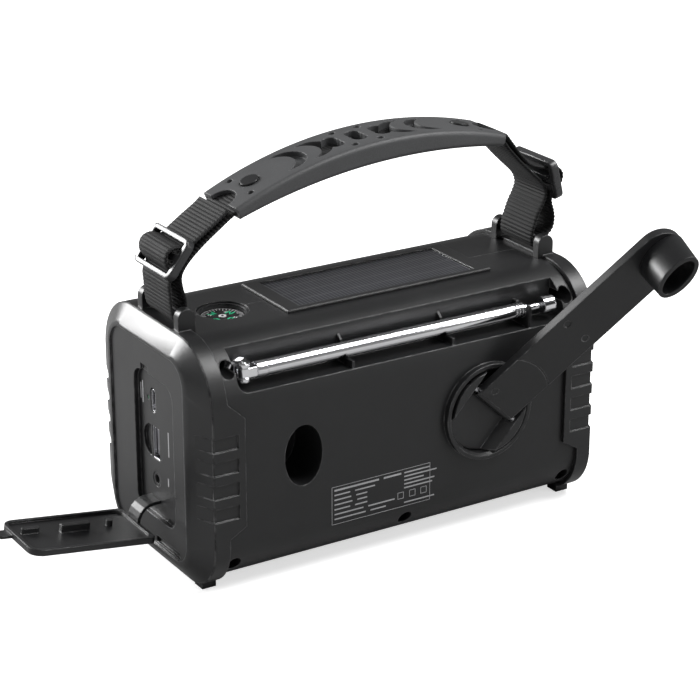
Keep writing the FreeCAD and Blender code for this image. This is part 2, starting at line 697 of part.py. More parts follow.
keep("jack_socket", jack.cut(rod(JACK_BORE, (cap_in - 11, jy, jz), (BIG, jy, jz))))
light = rod(0.8, (cap_in - 4.0, cy - 4.0, cz), (sock_x1, cy - 4.0, cz))
light_foot = box(cap_in - 5.0, cap_in - 2.5, cy - 5.0, BOARD_Y - 1.0, cz - 1.2, cz + 1.2)
board = box(board_x0, cap_in - 1.2, BOARD_Y - 1.6, BOARD_Y, 28.0, recess_z1 - 1.5)
keep("port_board", fuse([board, light, light_foot]))

# ---------------------------------------------------------------- port cover and its strap
def cover_flat():
    """The closed cover, its hinge edge at the origin, its length along +Z and its outer face at +X."""
    plate = prism(0, COVER_T, COVER_Y0, COVER_Y1, 0, cover_len, 5.0, 2.0)
    rim = prism(-COVER_RIM, 0, COVER_Y0, COVER_Y1, 0, cover_len, 5.0, 2.0)
    rim = rim.cut(prism(-9, 9, COVER_Y0 + 1.5, COVER_Y1 - 1.5, 1.5, cover_len - 1.5, 3.5))
    tab = prism(0.3, COVER_T, -4.8, 0.8, cover_len - 2, cover_len + COVER_TAB, 1.5)
    base = closed_edge_z
    c = prism(-2.2, 0.1, cy - 1.0, cy + 1.0, cz - base - 3.6, cz - base + 3.6, 0.95)
    a = box(-3.0, 0.1, ay - 0.2, ay + 2.1, az - base - 5.8, az - base + 5.8)
    j = rod(JACK_BORE - 0.5, (-2.2, jy, jz - base), (0.1, jy, jz - base))
    return fuse([plate, rim, tab, c, a, j])


closed_edge_z = RECESS_Z0 + 3.4
closed_edge_x = half_len - COVER_T
cover = cover_flat()
cover.rotate(V(0, 0, 0), V(0, 1, 0), COVER_OPEN)
cover.translate(V(COVER_EDGE_X, 0, COVER_EDGE_Z))
keep("port_cover", cover)
turn = math.radians(COVER_OPEN)
# the pivot carries the closed hinge edge onto the open one
dx = COVER_EDGE_X - closed_edge_x
dz = COVER_EDGE_Z - closed_edge_z
cot = 1 / math.tan(turn / 2)
pivot_x = (closed_edge_x + COVER_EDGE_X) / 2 + dz / 2 * cot
pivot_z = (closed_edge_z + COVER_EDGE_Z) / 2 - dx / 2 * cot
strap_path = [
    (cap_in - 2.0, 25.6), (half_len + 0.4, 25.6), (half_len + 2.4, 25.3), (half_len + 4.2, 24.4),
    (half_len + 5.7, 22.9), (half_len + 6.7, 21.0), (half_len + 7.2, 19.0), (half_len + 7.3, 17.4),
]
strap = band(strap_path, STRAP_T, 0.7 - STRAP_W / 2, 0.7 + STRAP_W / 2)
strap = fuse([strap, box(cap_in - 2.0, cap_in, 0.7 - STRAP_W / 2 - 1, 0.7 + STRAP_W / 2 + 1, 24.4, 26.8)])
keep("cover_strap", strap.cut(cover))
print("cover pivot x, z:", round(pivot_x, 3), round(pivot_z - case_z0, 3))

# ---------------------------------------------------------------- top: solar panel and compass
plateau_z = case_z1 + SOLAR_RISE
solar_y = SOLAR_W / 2
frame_plate = box(solar_x0, solar_x1, -solar_y, solar_y, case_z1, plateau_z)
cell_x0 = solar_x0 + SOLAR_END - 0.15
cell_x1 = solar_x1 - SOLAR_END - 0.15
pocket = box(cell_x0 - FIT, cell_x1 + FIT, -CELL_W / 2 - FIT, CELL_W / 2 + FIT, case_z1 - 1, BIG)
frame_rim = [e for e in frame_plate.Edges if e.BoundBox.ZMin > plateau_z - 0.01]
frame_plate = frame_plate.makeFillet(0.6, frame_rim)
keep("solar_frame", frame_plate.cut(pocket))
wafer_top = case_z1 + 0.6
keep("solar_cells", box(cell_x0, cell_x1, -CELL_W / 2, CELL_W / 2, case_z1, wafer_top))
keep("solar_window", box(cell_x0, cell_x1, -CELL_W / 2, CELL_W / 2, wafer_top, plateau_z - 0.15))

cup_top = case_z1 - 0.7
cup_bot = case_z1 - 9.0
dial_hole = COMPASS_DIAL_R + GAP
comp = fuse([
    rod(COMPASS_R - FIT, (compass_x, COMPASS_Y, cup_bot), (compass_x, COMPASS_Y, cup_top)),
    rod(COMPASS_R + 2.2, (compass_x, COMPASS_Y, in_z1 - 1.4), (compass_x, COMPASS_Y, in_z1)),
])
comp = comp.cut(rod(dial_hole, (compass_x, COMPASS_Y, cup_bot + 1.2), (compass_x, COMPASS_Y, BIG)))
lens_z = cup_top - 0.9
keep("compass_lens", rod(dial_hole, (compass_x, COMPASS_Y, lens_z), (compass_x, COMPASS_Y, cup_top)))
card_z = lens_z - 1.6
card = rod(COMPASS_DIAL_R, (compass_x, COMPASS_Y, card_z), (compass_x, COMPASS_Y, card_z + 0.7))
card = card.cut(rod(0.4 + RUN, (compass_x, COMPASS_Y, card_z - 1), (compass_x, COMPASS_Y, BIG)))
keep("compass_card", card)
pivot = fuse([
    rod(0.4, (compass_x, COMPASS_Y, cup_bot + 1.2), (compass_x, COMPASS_Y, card_z + 1.2)),
    rod(1.2, (compass_x, COMPASS_Y, cup_bot + 1.0), (compass_x, COMPASS_Y, card_z - 0.12)),
])
keep("compass_cup", fuse([comp, pivot]))

# ---------------------------------------------------------------- antenna
disc_y0 = groove_back_y + 0.1
disc_y1 = disc_y0 + ANT_DISC_H
ear_lo = ANT_EAR_GAP / 2
ear_hi = ear_lo + ANT_EAR_T
base = [
    rod(ANT_DISC_R, (ant_x, disc_y0, ant_z), (ant_x, disc_y1, ant_z)),
    rod(ANT_STEM_R, (ant_x, groove_back_y - WALL - 4.5, ant_z), (ant_x, disc_y0 + 0.5, ant_z)),
]
for s in (-1, 1):
    z0 = ant_z + s * ear_lo
    z1 = ant_z + s * ear_hi
    lo, hi = min(z0, z1), max(z0, z1)
    base.append(box(ant_x - 2.4, ant_x + 2.4, disc_y1 - 0.5, ant_y, lo, hi))
    base.append(rod(2.4, (ant_x, ant_y, lo), (ant_x, ant_y, hi)))
base = fuse(base).cut(rod(ANT_PIN_R, (ant_x, ant_y, 0), (ant_x, ant_y, BIG)))
head_y = groove_back_y - WALL - 0.1
stem_head = rod(ANT_STEM_R + 0.45, (ant_x, head_y - 3.0, ant_z), (ant_x, head_y, ant_z))
keep("antenna_swivel", fuse([base, stem_head]))
pin_z = ear_hi + 0.3
keep("antenna_pin", rod(ANT_PIN_R, (ant_x, ant_y, ant_z - pin_z), (ant_x, ant_y, ant_z + pin_z)))
tongue = ANT_EAR_GAP / 2 - 0.1
knuckle = fuse([
    box(ant_x - 6.5, ant_x, ant_y - 2.2, ant_y + 2.2, ant_z - tongue, ant_z + tongue),
    rod(2.2, (ant_x, ant_y, ant_z - tongue), (ant_x, ant_y, ant_z + tongue)),
    rod(ANT_TUBE_R + 0.1, (ant_x - 9.0, ant_y, ant_z), (ant_x - 4.6, ant_y, ant_z)),
])
knuckle = knuckle.cut(rod(ANT_PIN_R + RUN, (ant_x, ant_y, 0), (ant_x, ant_y, BIG)))
keep("antenna_knuckle", knuckle)
tube_x0 = ant_x - 9.0
tube = ring(ANT_TUBE_R, ANT_MID_R, (tube_x0, ant_y, ant_z), (ant_tube_end, ant_y, ant_z))
for i in range(3):
    x = ant_tube_end + 0.9 + i * ANT_COLLAR / 3
    tube = tube.cut(ring(ANT_TUBE_R + 1, ANT_TUBE_R - 0.3, (x, ant_y, ant_z), (x + 0.5, ant_y, ant_z)))
keep("antenna_tube_outer", tube)
middle = ring(ANT_MID_R, ANT_ROD_R, (tube_x0, ant_y, ant_z), (ant_mid_end, ant_y, ant_z))
keep("antenna_tube_middle", middle)
keep("antenna_rod", rod(ANT_ROD_R, (tube_x0, ant_y, ant_z), (ant_tip_x0, ant_y, ant_z)))
keep("antenna_tip", rod(ANT_TIP_R, (ant_tip_x0, ant_y, ant_z), (ant_tip_x1, ant_y, ant_z)))

# ---------------------------------------------------------------- crank
disc_top = case_y + DISC_H
disc_bot = disc_top - DISC_T
channel_y = hinge_y - ARM_T / 2 - GAP
channel = ARM_W / 2 + 0.2
hub = rod(DISC_R, (0, disc_bot, 0), (0, disc_top, 0))
slope = disc_top - channel_y
slope_in = channel + 0.6 * slope
channel_pts = [(channel_y, -channel), (disc_top, -slope_in), (BIG, -slope_in)]
channel_pts += [(BIG, slope_in), (disc_top, slope_in), (channel_y, channel), (channel_y, -channel)]
channel_wire = Part.makePolygon([V(-BIG, y, z) for y, z in channel_pts])
hub = hub.cut(Part.Face(channel_wire).extrude(V(2 * BIG, 0, 0)))
hub = hub.cut(rod(HINGE_PIN_R, (HINGE_OFF, hinge_y, -BIG), (HINGE_OFF, hinge_y, BIG)))
hub = hub.cut(rod(SHAFT_R, (0, disc_bot - 1, 0), (0, disc_bot + 3.0, 0)))
keep("crank_hub", place_crank(hub))
pin_half = math.sqrt(DISC_R ** 2 - (HINGE_OFF + HINGE_PIN_R) ** 2) - 0.6
hinge_pin = rod(HINGE_PIN_R, (HINGE_OFF, hinge_y, -pin_half), (HINGE_OFF, hinge_y, pin_half))
keep("crank_hinge_pin", place_crank(hinge_pin))
arm_len = KNOB_REACH + HINGE_OFF
arm = fuse([
    box(0.3, arm_len, -ARM_T / 2, ARM_T / 2, -ARM_W / 2, ARM_W / 2),
    rod(BARREL_R, (0, 0, -ARM_W / 2), (0, 0, ARM_W / 2)),
    rod(ARM_W / 2, (arm_len, -ARM_T / 2, 0), (arm_len, ARM_T / 2, 0)),
])
back_edges = []
for e in arm.Edges:
    b = e.BoundBox
    if b.YMax < -ARM_T / 2 + 0.01 and b.XMax > 1.0:
        back_edges.append(e)
arm = arm.makeChamfer(1.2, back_edges)
arm = arm.cut(rod(HINGE_PIN_R + RUN, (0, 0, -BIG), (0, 0, BIG)))
arm = arm.cut(rod(STUD_R, (arm_len, -BIG, 0), (arm_len, BIG, 0)))
for x, z in ((4.5, -6.0), (43.0, -6.5), (43.5, 5.0)):
    arm = arm.cut(rod(1.5, (x, ARM_T / 2 - 0.3, z), (x, BIG, z)))
step_r = DISC_R + 2.0
step = ring(step_r + 0.4, step_r, (HINGE_OFF, ARM_T / 2 - 0.3, 0), (HINGE_OFF, ARM_T, 0))
step = step.common(box(10.0, BIG, -BIG, BIG, -BIG, BIG))
arm = arm.cut(step)
keep("crank_arm", place_arm(arm))
knob_y0 = ARM_T / 2 + 0.15
knob = Part.makeLoft([
    ellipse_wire(arm_len, 0, KNOB_BASE[0], KNOB_BASE[1], knob_y0),
    ellipse_wire(arm_len, 0, KNOB_RIM[0], KNOB_RIM[1], knob_y0 + KNOB_H),
], True, True)
mouth = [side - 2 * KNOB_WALL for side in KNOB_RIM]
knob_in = Part.makeLoft([
    ellipse_wire(arm_len, 0, mouth[0] - 0.6, mouth[1] - 0.6, knob_y0 + 3.0),
    ellipse_wire(arm_len, 0, mouth[0], mouth[1], knob_y0 + KNOB_H + 0.01),
], True, True)
knob = knob.cut(knob_in).cut(rod(STUD_R + RUN, (arm_len, 0, 0), (arm_len, BIG, 0)))
knob.rotate(V(arm_len, 0, 0), V(0, 1, 0), KNOB_TURN)
keep("crank_knob", place_arm(knob))
stud = fuse([
    rod(STUD_R, (arm_len, -ARM_T / 2, 0), (arm_len, knob_y0 + 3.1, 0)),
    rod(STUD_R + 1.0, (arm_len, knob_y0 + 3.1, 0), (arm_len, knob_y0 + 4.3, 0)),
])
keep("crank_knob_stud", place_arm(stud))

shaft_y0 = plate_y - 1.0
shaft = rod(SHAFT_R, (CRANK_X, shaft_y0, crank_z), (CRANK_X, disc_bot + 3.0, crank_z))
keep("crank_shaft", shaft)
bush_y0 = disc_floor_y - 6
bush_ends = ((CRANK_X, bush_y0, crank_z), (CRANK_X, disc_floor_y - 0.3, crank_z))
keep("crank_bush", ring(SHAFT_R + 1.2, SHAFT_R + RUN, *bush_ends))

# ---------------------------------------------------------------- gear train
wheel_r = MODULE * WHEEL_TEETH / 2
pinion_r = MODULE * PINION_TEETH / 2
centre = wheel_r + pinion_r
idler_x = CRANK_X + centre
dynamo_x = idler_x + centre
tooth = 360.0 / PINION_TEETH
keep("crank_gear", gear(WHEEL_TEETH, GEAR_W, CRANK_X, stage_1_y, crank_z, 0.0, SHAFT_R))
collar_y = stage_2_y + GEAR_W - 0.2
idler = fuse([
    gear(PINION_TEETH, GEAR_W + 0.6, idler_x, stage_1_y - 0.3, crank_z, 180.0 + tooth / 2, AXLE_R + RUN),
    gear(WHEEL_TEETH, GEAR_W, idler_x, stage_2_y, crank_z, 0.0, AXLE_R + RUN),
    ring(4.6, AXLE_R + RUN, (idler_x, collar_y, crank_z), (idler_x, stage_1_y + 0.3, crank_z)),
])
keep("idler_gear", idler)
plate_top = plate_y + PLATE_T
rotor = fuse([
    gear(PINION_TEETH, GEAR_W + 0.6, dynamo_x, stage_2_y - 0.3, crank_z, 180.0 + tooth / 2, AXLE_R - 0.5),
    rod(AXLE_R, (dynamo_x, plate_y - DYNAMO_L + 2.0, crank_z), (dynamo_x, stage_2_y + GEAR_W + 0.6, crank_z)),
    rod(DYNAMO_R - 3.0, (dynamo_x, plate_y - DYNAMO_L + 4.0, crank_z), (dynamo_x, plate_y - 3.0, crank_z)),
])
keep("dynamo_rotor", rotor)
can_y0 = plate_y - DYNAMO_L
can = rod(DYNAMO_R, (dynamo_x, can_y0, crank_z), (dynamo_x, plate_y, crank_z))
can = can.cut(rod(DYNAMO_R - 1.6, (dynamo_x, can_y0 + 1.5, crank_z), (dynamo_x, plate_y - 1.5, crank_z)))
can = can.cut(rod(AXLE_R + RUN, (dynamo_x, can_y0 - 1, crank_z), (dynamo_x, plate_y + 1, crank_z)))
keep("dynamo_can", can)
plate_x0 = CRANK_X - wheel_r - 9.5
post_xs = (plate_x0 + 3.5, idler_x + wheel_r - 0.5)
plate_posts = [(x, z) for x in post_xs for z in (crank_z - 19.2, crank_z + 18.3)]
plate_z0 = max(27.0, crank_z - 22.7)
plate = [box(plate_x0, dynamo_x + 15.0, plate_y, plate_top, plate_z0, groove_floor_z - WALL)]
for x, z in plate_posts:
    plate.append(rod(3.2, (x, plate_y + 0.5, z), (x, in_y, z)))
plate.append(rod(AXLE_R, (idler_x, plate_y, crank_z), (idler_x, stage_1_y + GEAR_W + 1.6, crank_z)))
plate = cut(fuse(plate), [
    rod(SHAFT_R + RUN, (CRANK_X, plate_y - 1, crank_z), (CRANK_X, plate_top + 1, crank_z)),
    rod(AXLE_R + 1.0, (dynamo_x, plate_y - 1, crank_z), (dynamo_x, plate_top + 1, crank_z)),
])
keep("gear_plate", plate)

# ---------------------------------------------------------------- power and boards
cell_y = CELL_R + 1.4
cell_z = in_z0 + 1.5 + CELL_R
cell_len = min(CELL_LEN, screw_x - BOSS_R - 3.4)
cells = []
for x0 in (3.0, -3.0 - cell_len):
    for y in (-cell_y, cell_y):
        cells.append(rod(CELL_R, (x0, y, cell_z), (x0 + cell_len, y, cell_z)))
keep("battery_cells", Part.makeCompound(cells))
tray_x = screw_x - BOSS_R - 0.5
tray = box(-tray_x, tray_x, -cell_y - CELL_R - 1.5, cell_y + CELL_R + 1.5, in_z0, 12.0)
tray = cut(tray, cells)
tray = fuse([tray, box(-2.6, 2.6, 10.0, MID_BOSS_Y, in_z0, 14.5)])
tray = tray.cut(rod(SCREW_R, (0, MID_HEAD_Y - 12.5, screw_mid[1]), (0, MID_HEAD_Y, screw_mid[1])))
tray = tray.common(case_solid(WALL, -shell_x, shell_x))
keep("battery_tray", tray)

main_board = [box(WINDOW[0] - 10, WINDOW[1] + 10, main_y, main_y + 1.6, 20.0, HEIGHT - 13.9)]
for x in BUTTON_X:
    main_board.append(box(x - 3, x + 3, main_y - 1.6, main_y, BUTTON_Z - 3, BUTTON_Z + 3))
keep("main_board", fuse(main_board))
glass_y0 = -case_y + 0.1
win_x0, win_x1, win_z0, win_z1 = WINDOW
glass = box(win_x0 + FIT, win_x1 - FIT, glass_y0, -case_y + 1.2, win_z0 + FIT, win_z1 - FIT)
keep("display_window", glass)
keep("display_module", box(win_x0 + 4, win_x1 - 4, -in_y + 0.5, main_y, win_z0 + 4, win_z1 - 4))
for i, x in enumerate(BUTTON_X):
    y_in = main_y - 1.6
    cap_out = -case_y - 0.9
    button = fuse([
        rod(BUTTON_R, (x, cap_out, BUTTON_Z), (x, -in_y + 0.5, BUTTON_Z)),
        rod(BUTTON_R + 1.2, (x, -in_y + 0.15, BUTTON_Z), (x, -in_y + 1.3, BUTTON_Z)),
        rod(1.6, (x, -in_y + 1.0, BUTTON_Z), (x, y_in - BUTTON_TRAVEL - 0.1, BUTTON_Z)),
    ])
    keep("button_%d" % (i + 1), button)

# ---------------------------------------------------------------- speaker and ferrite rod
basket = rod(SPEAKER_R + 1.5, (SPEAKER_X, -in_y, speaker_z), (SPEAKER_X, -in_y + 2.0, speaker_z))
basket = fuse([
    basket,
    Part.makeCone(SPEAKER_R, 14.0, 8.0, V(SPEAKER_X, -in_y + 2.0, speaker_z), V(0, 1, 0)),
    rod(13.0, (SPEAKER_X, -in_y + 9.0, speaker_z), (SPEAKER_X, -in_y + 17.0, speaker_z)),
])
cone_y = -in_y - 0.01
cone = Part.makeCone(SPEAKER_R - 2.0, 11.0, 9.0, V(SPEAKER_X, cone_y, speaker_z), V(0, 1, 0))
basket = basket.cut(cone)
keep("speaker_basket", basket)
hollow_y = -in_y - 0.8
cone_hollow = Part.makeCone(SPEAKER_R - 2.8, 10.2, 9.0, V(SPEAKER_X, hollow_y, speaker_z), V(0, 1, 0))
cone = cone.cut(cone_hollow)
cone = cone.common(box(-BIG, BIG, -in_y + 1.0, BIG, -BIG, BIG))
keep("speaker_cone", cone)
keep("ferrite_rod", rod(4.0, (-50, ferrite_y, ferrite_z), (50, ferrite_y, ferrite_z)))

# ---------------------------------------------------------------- case screws
screws = []
for x, z in corner_screws:
    screws.append(fuse([
        rod(SCREW_HEAD_R, (x, HEAD_Y - 2, z), (x, HEAD_Y, z)),
        rod(SCREW_R, (x, PARTING_Y - BOSS_FRONT + 2.0, z), (x, HEAD_Y - 1, z)),
    ]))
screws.append(fuse([
    rod(SCREW_HEAD_R, (0, MID_HEAD_Y - 2, screw_mid[1]), (0, MID_HEAD_Y, screw_mid[1])),
    rod(SCREW_R, (0, MID_HEAD_Y - 12.0, screw_mid[1]), (0, MID_HEAD_Y - 1, screw_mid[1])),
]))
keep("case_screws", Part.makeCompound(screws))

# ---------------------------------------------------------------- ear bars, buckles, webbing
bars = [rod(BAR_R, (s * ear_x, -bar_half, ear_z), (s * ear_x, bar_half, ear_z)) for s in (-1, 1)]
keep("ear_bars", Part.makeCompound(bars))


def buckle_frame(spec):
    """Unit directions of a buckle: up its plate, and out of its face."""
    a = math.radians(spec[2])
    up = (math.cos(a), math.sin(a))
    side = 1 if spec[0] > 0 else -1
    out = (up[1] * side, -up[0] * side)
    return up, out


def buckle(spec):
    h = BUCKLE_H / 2
    w = BUCKLE_W / 2
    plate = box(-BUCKLE_T / 2, BUCKLE_T / 2, -w, w, -h, h)
    slot_h = h - BUCKLE_BAR
    slot_w = WEB_W / 2 + 0.4
    for s in (-1, 1):
        z0 = s * 1.3
        z1 = s * slot_h
        plate = plate.cut(box(-5, 5, -slot_w, slot_w, min(z0, z1), max(z0, z1)))
    corners = []
    for e in plate.Edges:
        b = e.BoundBox
        if abs(b.DiagonalLength - BUCKLE_T) < 0.01 and b.XLength > 1 and abs(abs(b.YMin) - w) < 0.01:
            corners.append(e)
    plate = plate.makeFillet(BUCKLE_R0, corners)
    plate.rotate(V(0, 0, 0), V(0, 1, 0), 90 - spec[2])
    plate.translate(V(spec[0], 0, spec[1]))
    return plate


def in_buckle(spec, u, v):
    up, out = buckle_frame(spec)
    return (spec[0] + up[0] * u + out[0] * v, spec[1] + up[1] * u + out[1] * v)


keep("buckles", Part.makeCompound([buckle(BUCKLE_L), buckle(BUCKLE_R)]))

grip_mid = math.radians(GRIP_TILT)
grip_cz = grip_top_z - GRIP_R


def on_grip(angle, drop):
    """Point of the grip at an angle from its middle (positive towards the ports) and below its back."""
    a = grip_mid + math.radians(angle)
    r = GRIP_R - drop
    return (GRIP_CX + r * math.sin(a), grip_cz + r * math.cos(a))


def thickness(angle):
    return GRIP_T_MID + (GRIP_T_END - GRIP_T_MID) * (angle / GRIP_HALF) ** 2


def along(dist):
    return math.degrees(dist / GRIP_R)


slot_drop = 2.6
slot_angle = math.degrees(GRIP_SLOT / GRIP_R)


def grip_layer(spec):
    """From the slot in the grip, behind the buckle, to the inner side of the bar."""
    side = 1 if spec[0] > 0 else -1
    a0 = side * (GRIP_HALF - slot_angle)
    a1 = side * GRIP_HALF
    v = BUCKLE_T / 2 + WEB_T * 1.5 + 0.6
    h = BUCKLE_H / 2
    pts = [on_grip(a0, slot_drop), on_grip(side * (GRIP_HALF - slot_angle / 2), slot_drop)]
    pts.append(on_grip(a1 * 1.02, slot_drop + 0.1))
    pts += [in_buckle(spec, h + 1.0, -v - 0.6), in_buckle(spec, 0.0, -v), in_buckle(spec, -h + 2.0, -v)]
    pts.append((side * (ear_x - 1.6), ear_z + 12.0))
    pts.append((side * (ear_x - BAR_R - 1.2), ear_z + 6.0))
    pts.append((side * (ear_x - BAR_R - 0.9), ear_z + 1.0))
    return pts


def free_layer(spec):
    """From the outer side of the bar, threaded over the buckle's middle bar, to its cut end."""
    side = 1 if spec[0] > 0 else -1
    v = BUCKLE_T / 2 + WEB_T / 2 + 0.15
    h = BUCKLE_H / 2
    lift = BUCKLE_T / 2 + WEB_T + 1.5
    half = [(h + 1.0, -v), (h - 2.4, -v - 0.1), (h - 3.9, -v + 1.25), (3.4, v - 2.15), (2.6, v)]
    threaded = half + [(0.0, lift)] + [(-a, b) for a, b in reversed(half)]
    pts = [on_grip(side * (GRIP_HALF + along(2.5)), -0.4)]
    pts += [in_buckle(spec, a, b) for a, b in threaded]
    pts.append((side * (ear_x + BAR_R + 2.5), ear_z + 8.0))
    pts.append((side * (ear_x + BAR_R + 1.0), ear_z + 2.2))
    return pts


def webbing(spec):
    side = 1 if spec[0] > 0 else -1
    strip = band(grip_layer(spec), WEB_T, -WEB_W / 2, WEB_W / 2)
    x = side * ear_x
    loop = ring(BAR_R + WEB_T, BAR_R, (x, -WEB_W / 2, ear_z), (x, WEB_W / 2, ear_z))
    free = band(free_layer(spec), WEB_T, -WEB_W / 2, WEB_W / 2)
    strip = fuse([strip, free, loop])
    ax, az = on_grip(side * rivet_angle, 0)
    bx, bz = on_grip(side * rivet_angle, GRIP_T_MID)
    rivet_hole = rod(RIVET_R + 0.3, (ax, 0, az), (bx, 0, bz))
    return strip.cut([rivet_hole, rod(BAR_R, (x, -BIG, ear_z), (x, BIG, ear_z))])


rivet_angle = GRIP_HALF - math.degrees(14.0 / GRIP_R)
webs = {1: webbing(BUCKLE_L), -1: webbing(BUCKLE_R)}
keep("webbing_ports", webs[1])
keep("webbing_torch", webs[-1])

# ---------------------------------------------------------------- grip
def grip_outline():
    steps = 10
    top = [on_grip(-GRIP_HALF + 2 * GRIP_HALF * i / steps, 0) for i in range(steps + 1)]
    bot = []
    for i in range(steps + 1):
        a = GRIP_HALF - 2 * GRIP_HALF * i / steps
        bot.append(on_grip(a, thickness(a)))
    return top, bot


grip_y = GRIP_W / 2
top_pts, bot_pts = grip_outline()
top_curve = Part.BSplineCurve()
top_curve.interpolate([V(x, -grip_y, z) for x, z in top_pts])
bot_curve = Part.BSplineCurve()
bot_curve.interpolate([V(x, -grip_y, z) for x, z in bot_pts])
grip_wire = Part.Wire([
    top_curve.toShape(),
    Part.makeLine(V(top_pts[-1][0], -grip_y, top_pts[-1][1]), V(bot_pts[0][0], -grip_y, bot_pts[0][1])),
    bot_curve.toShape(),
    Part.makeLine(V(bot_pts[-1][0], -grip_y, bot_pts[-1][1]), V(top_pts[0][0], -grip_y, top_pts[0][1])),
])
grip = Part.Face(grip_wire).extrude(V(0, GRIP_W, 0))
long_edges = [e for e in grip.Edges if e.BoundBox.XLength > 60]
grip = grip.makeFillet(1.9, long_edges)


def radial(angle, y, depth, radius, start=-2.0):
    ax, az = on_grip(angle, start)
    bx, bz = on_grip(angle, depth)
    return rod(radius, (ax, y, az), (bx, y, bz))


POCKET = 1.5
DEEP = 3.4
grip_cuts = []
for s in (-1, 1):
    grip_cuts.append(radial(s * rivet_angle, 0, GRIP_T_MID + 2, RIVET_R))
    grip_cuts.append(radial(s * rivet_angle, 0, 1.0, RIVET_HEAD + 0.3))
    grip_cuts.append(radial(s * GRIP_HALF, 0, slot_drop, NOTCH_R))
    for y in (-8.2, 8.2):
        grip_cuts.append(radial(s * (rivet_angle + along(4.5)), y, POCKET, 1.3))
    for dist, deep in ((32.0, 2.6), (20.5, DEEP)):
        moon_out = radial(s * along(dist), 0, deep, 8.6)
        moon_in = radial(s * along(dist + 4.6), 0, deep + 1, 8.2)
        grip_cuts.append(moon_out.cut(moon_in))
for dist in (-10.5, 0.0, 10.5):
    grip_cuts.append(fuse([radial(along(dist), y, DEEP, 3.2) for y in (-2.6, 0, 2.6)]))
for dist in (-5.7, 5.7):
    for y in (-8.6, 8.6):
        grip_cuts.append(radial(along(dist), y, 2.4, 1.5))
for s in (-1, 1):
    a0 = s * (GRIP_HALF - slot_angle - along(1.0))
    path = [on_grip(a0, slot_drop), on_grip(s * (GRIP_HALF - slot_angle / 2), slot_drop)]
    path.append(on_grip(s * GRIP_HALF * 1.03, slot_drop + 0.1))
    path.append(on_grip(s * GRIP_HALF * 1.10, slot_drop + 1.0))
    grip_cuts.append(band(path, WEB_T + 0.3, -WEB_W / 2 - 0.3, WEB_W / 2 + 0.3))
keep("handle_grip", cut(grip, grip_cuts))
rivets = []
for s in (-1, 1):
    t = thickness(rivet_angle)
    rivets.append(fuse([
        radial(s * rivet_angle, 0, t, RIVET_R, 0.0),
        radial(s * rivet_angle, 0, 1.0, RIVET_HEAD, -0.7),
    ]))
keep("grip_rivets", Part.makeCompound(rivets))

# ---------------------------------------------------------------- write the parts
os.makedirs("parts", exist_ok=True)
for name, shape in pieces.items():
    shape.exportStep("parts/%s.step" % name)
    solids = shape.Solids
    print("%-22s solids %d  vol %9.1f  valid %s" % (name, len(solids), shape.Volume, shape.isValid()))
print(len(pieces), "pieces")
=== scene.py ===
import json
import math
import random

import bmesh
import bpy
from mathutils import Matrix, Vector


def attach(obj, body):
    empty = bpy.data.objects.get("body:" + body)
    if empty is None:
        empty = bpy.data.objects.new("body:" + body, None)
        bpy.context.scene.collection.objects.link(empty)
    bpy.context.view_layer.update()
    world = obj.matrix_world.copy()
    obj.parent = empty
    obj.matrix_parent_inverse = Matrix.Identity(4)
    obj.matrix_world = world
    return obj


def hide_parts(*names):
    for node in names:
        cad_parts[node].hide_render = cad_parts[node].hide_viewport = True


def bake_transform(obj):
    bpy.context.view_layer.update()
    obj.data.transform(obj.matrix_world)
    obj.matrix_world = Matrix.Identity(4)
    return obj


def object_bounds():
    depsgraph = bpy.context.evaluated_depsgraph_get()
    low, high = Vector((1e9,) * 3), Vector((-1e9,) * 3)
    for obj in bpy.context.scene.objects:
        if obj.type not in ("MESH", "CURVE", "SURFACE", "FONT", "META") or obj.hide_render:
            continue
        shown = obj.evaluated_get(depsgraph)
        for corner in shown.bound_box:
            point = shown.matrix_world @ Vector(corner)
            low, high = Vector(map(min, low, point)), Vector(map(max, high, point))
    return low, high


random.seed(7)
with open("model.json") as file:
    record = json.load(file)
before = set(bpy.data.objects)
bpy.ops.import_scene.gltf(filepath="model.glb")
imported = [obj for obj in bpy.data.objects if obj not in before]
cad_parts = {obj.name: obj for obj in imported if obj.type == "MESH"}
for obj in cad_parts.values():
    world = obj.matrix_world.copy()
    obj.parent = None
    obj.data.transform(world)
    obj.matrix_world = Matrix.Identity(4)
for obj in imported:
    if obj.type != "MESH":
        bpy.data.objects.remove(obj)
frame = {"nodes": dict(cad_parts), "record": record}
CAD_BOX = [list(c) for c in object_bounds()]
NODES = frame["nodes"]
MM = 0.001

# ------------------------------------------------------------------ camera
CAMERA_PLACE = Vector((0.44075, 0.70841, 0.39222))
CAMERA_LOOK = Vector((-0.4914, -0.7915, -0.3633))
camera = bpy.data.objects.new("camera", bpy.data.cameras.new("camera"))
bpy.context.scene.collection.objects.link(camera)
camera.location = CAMERA_PLACE
camera.rotation_euler = CAMERA_LOOK.to_track_quat("-Z", "Y").to_euler()
camera.data.lens = 116.47
camera.data.sensor_width = 36.0
camera.data.clip_start = 0.02
camera.data.clip_end = 20.0
bpy.context.scene.camera = camera


# ------------------------------------------------------------------ mesh helpers
def new_piece(name, verts, faces, material, body, smooth=True):
    mesh = bpy.data.meshes.new(name)
    mesh.from_pydata([tuple(v) for v in verts], [], faces)
    mesh.update()
    piece = bpy.data.objects.new(name, mesh)
    bpy.context.scene.collection.objects.link(piece)
    mesh.materials.append(material)
    for face in mesh.polygons:
        face.use_smooth = smooth
    if body:
        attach(piece, body)
    return piece


def from_bmesh(name, bm, material, body, smooth=False):
    mesh = bpy.data.meshes.new(name)
    bmesh.ops.recalc_face_normals(bm, faces=bm.faces)
    bm.to_mesh(mesh)
    bm.free()
    piece = bpy.data.objects.new(name, mesh)
    bpy.context.scene.collection.objects.link(piece)
    mesh.materials.append(material)
    for face in mesh.polygons:
        face.use_smooth = smooth
    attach(piece, body)
    return piece


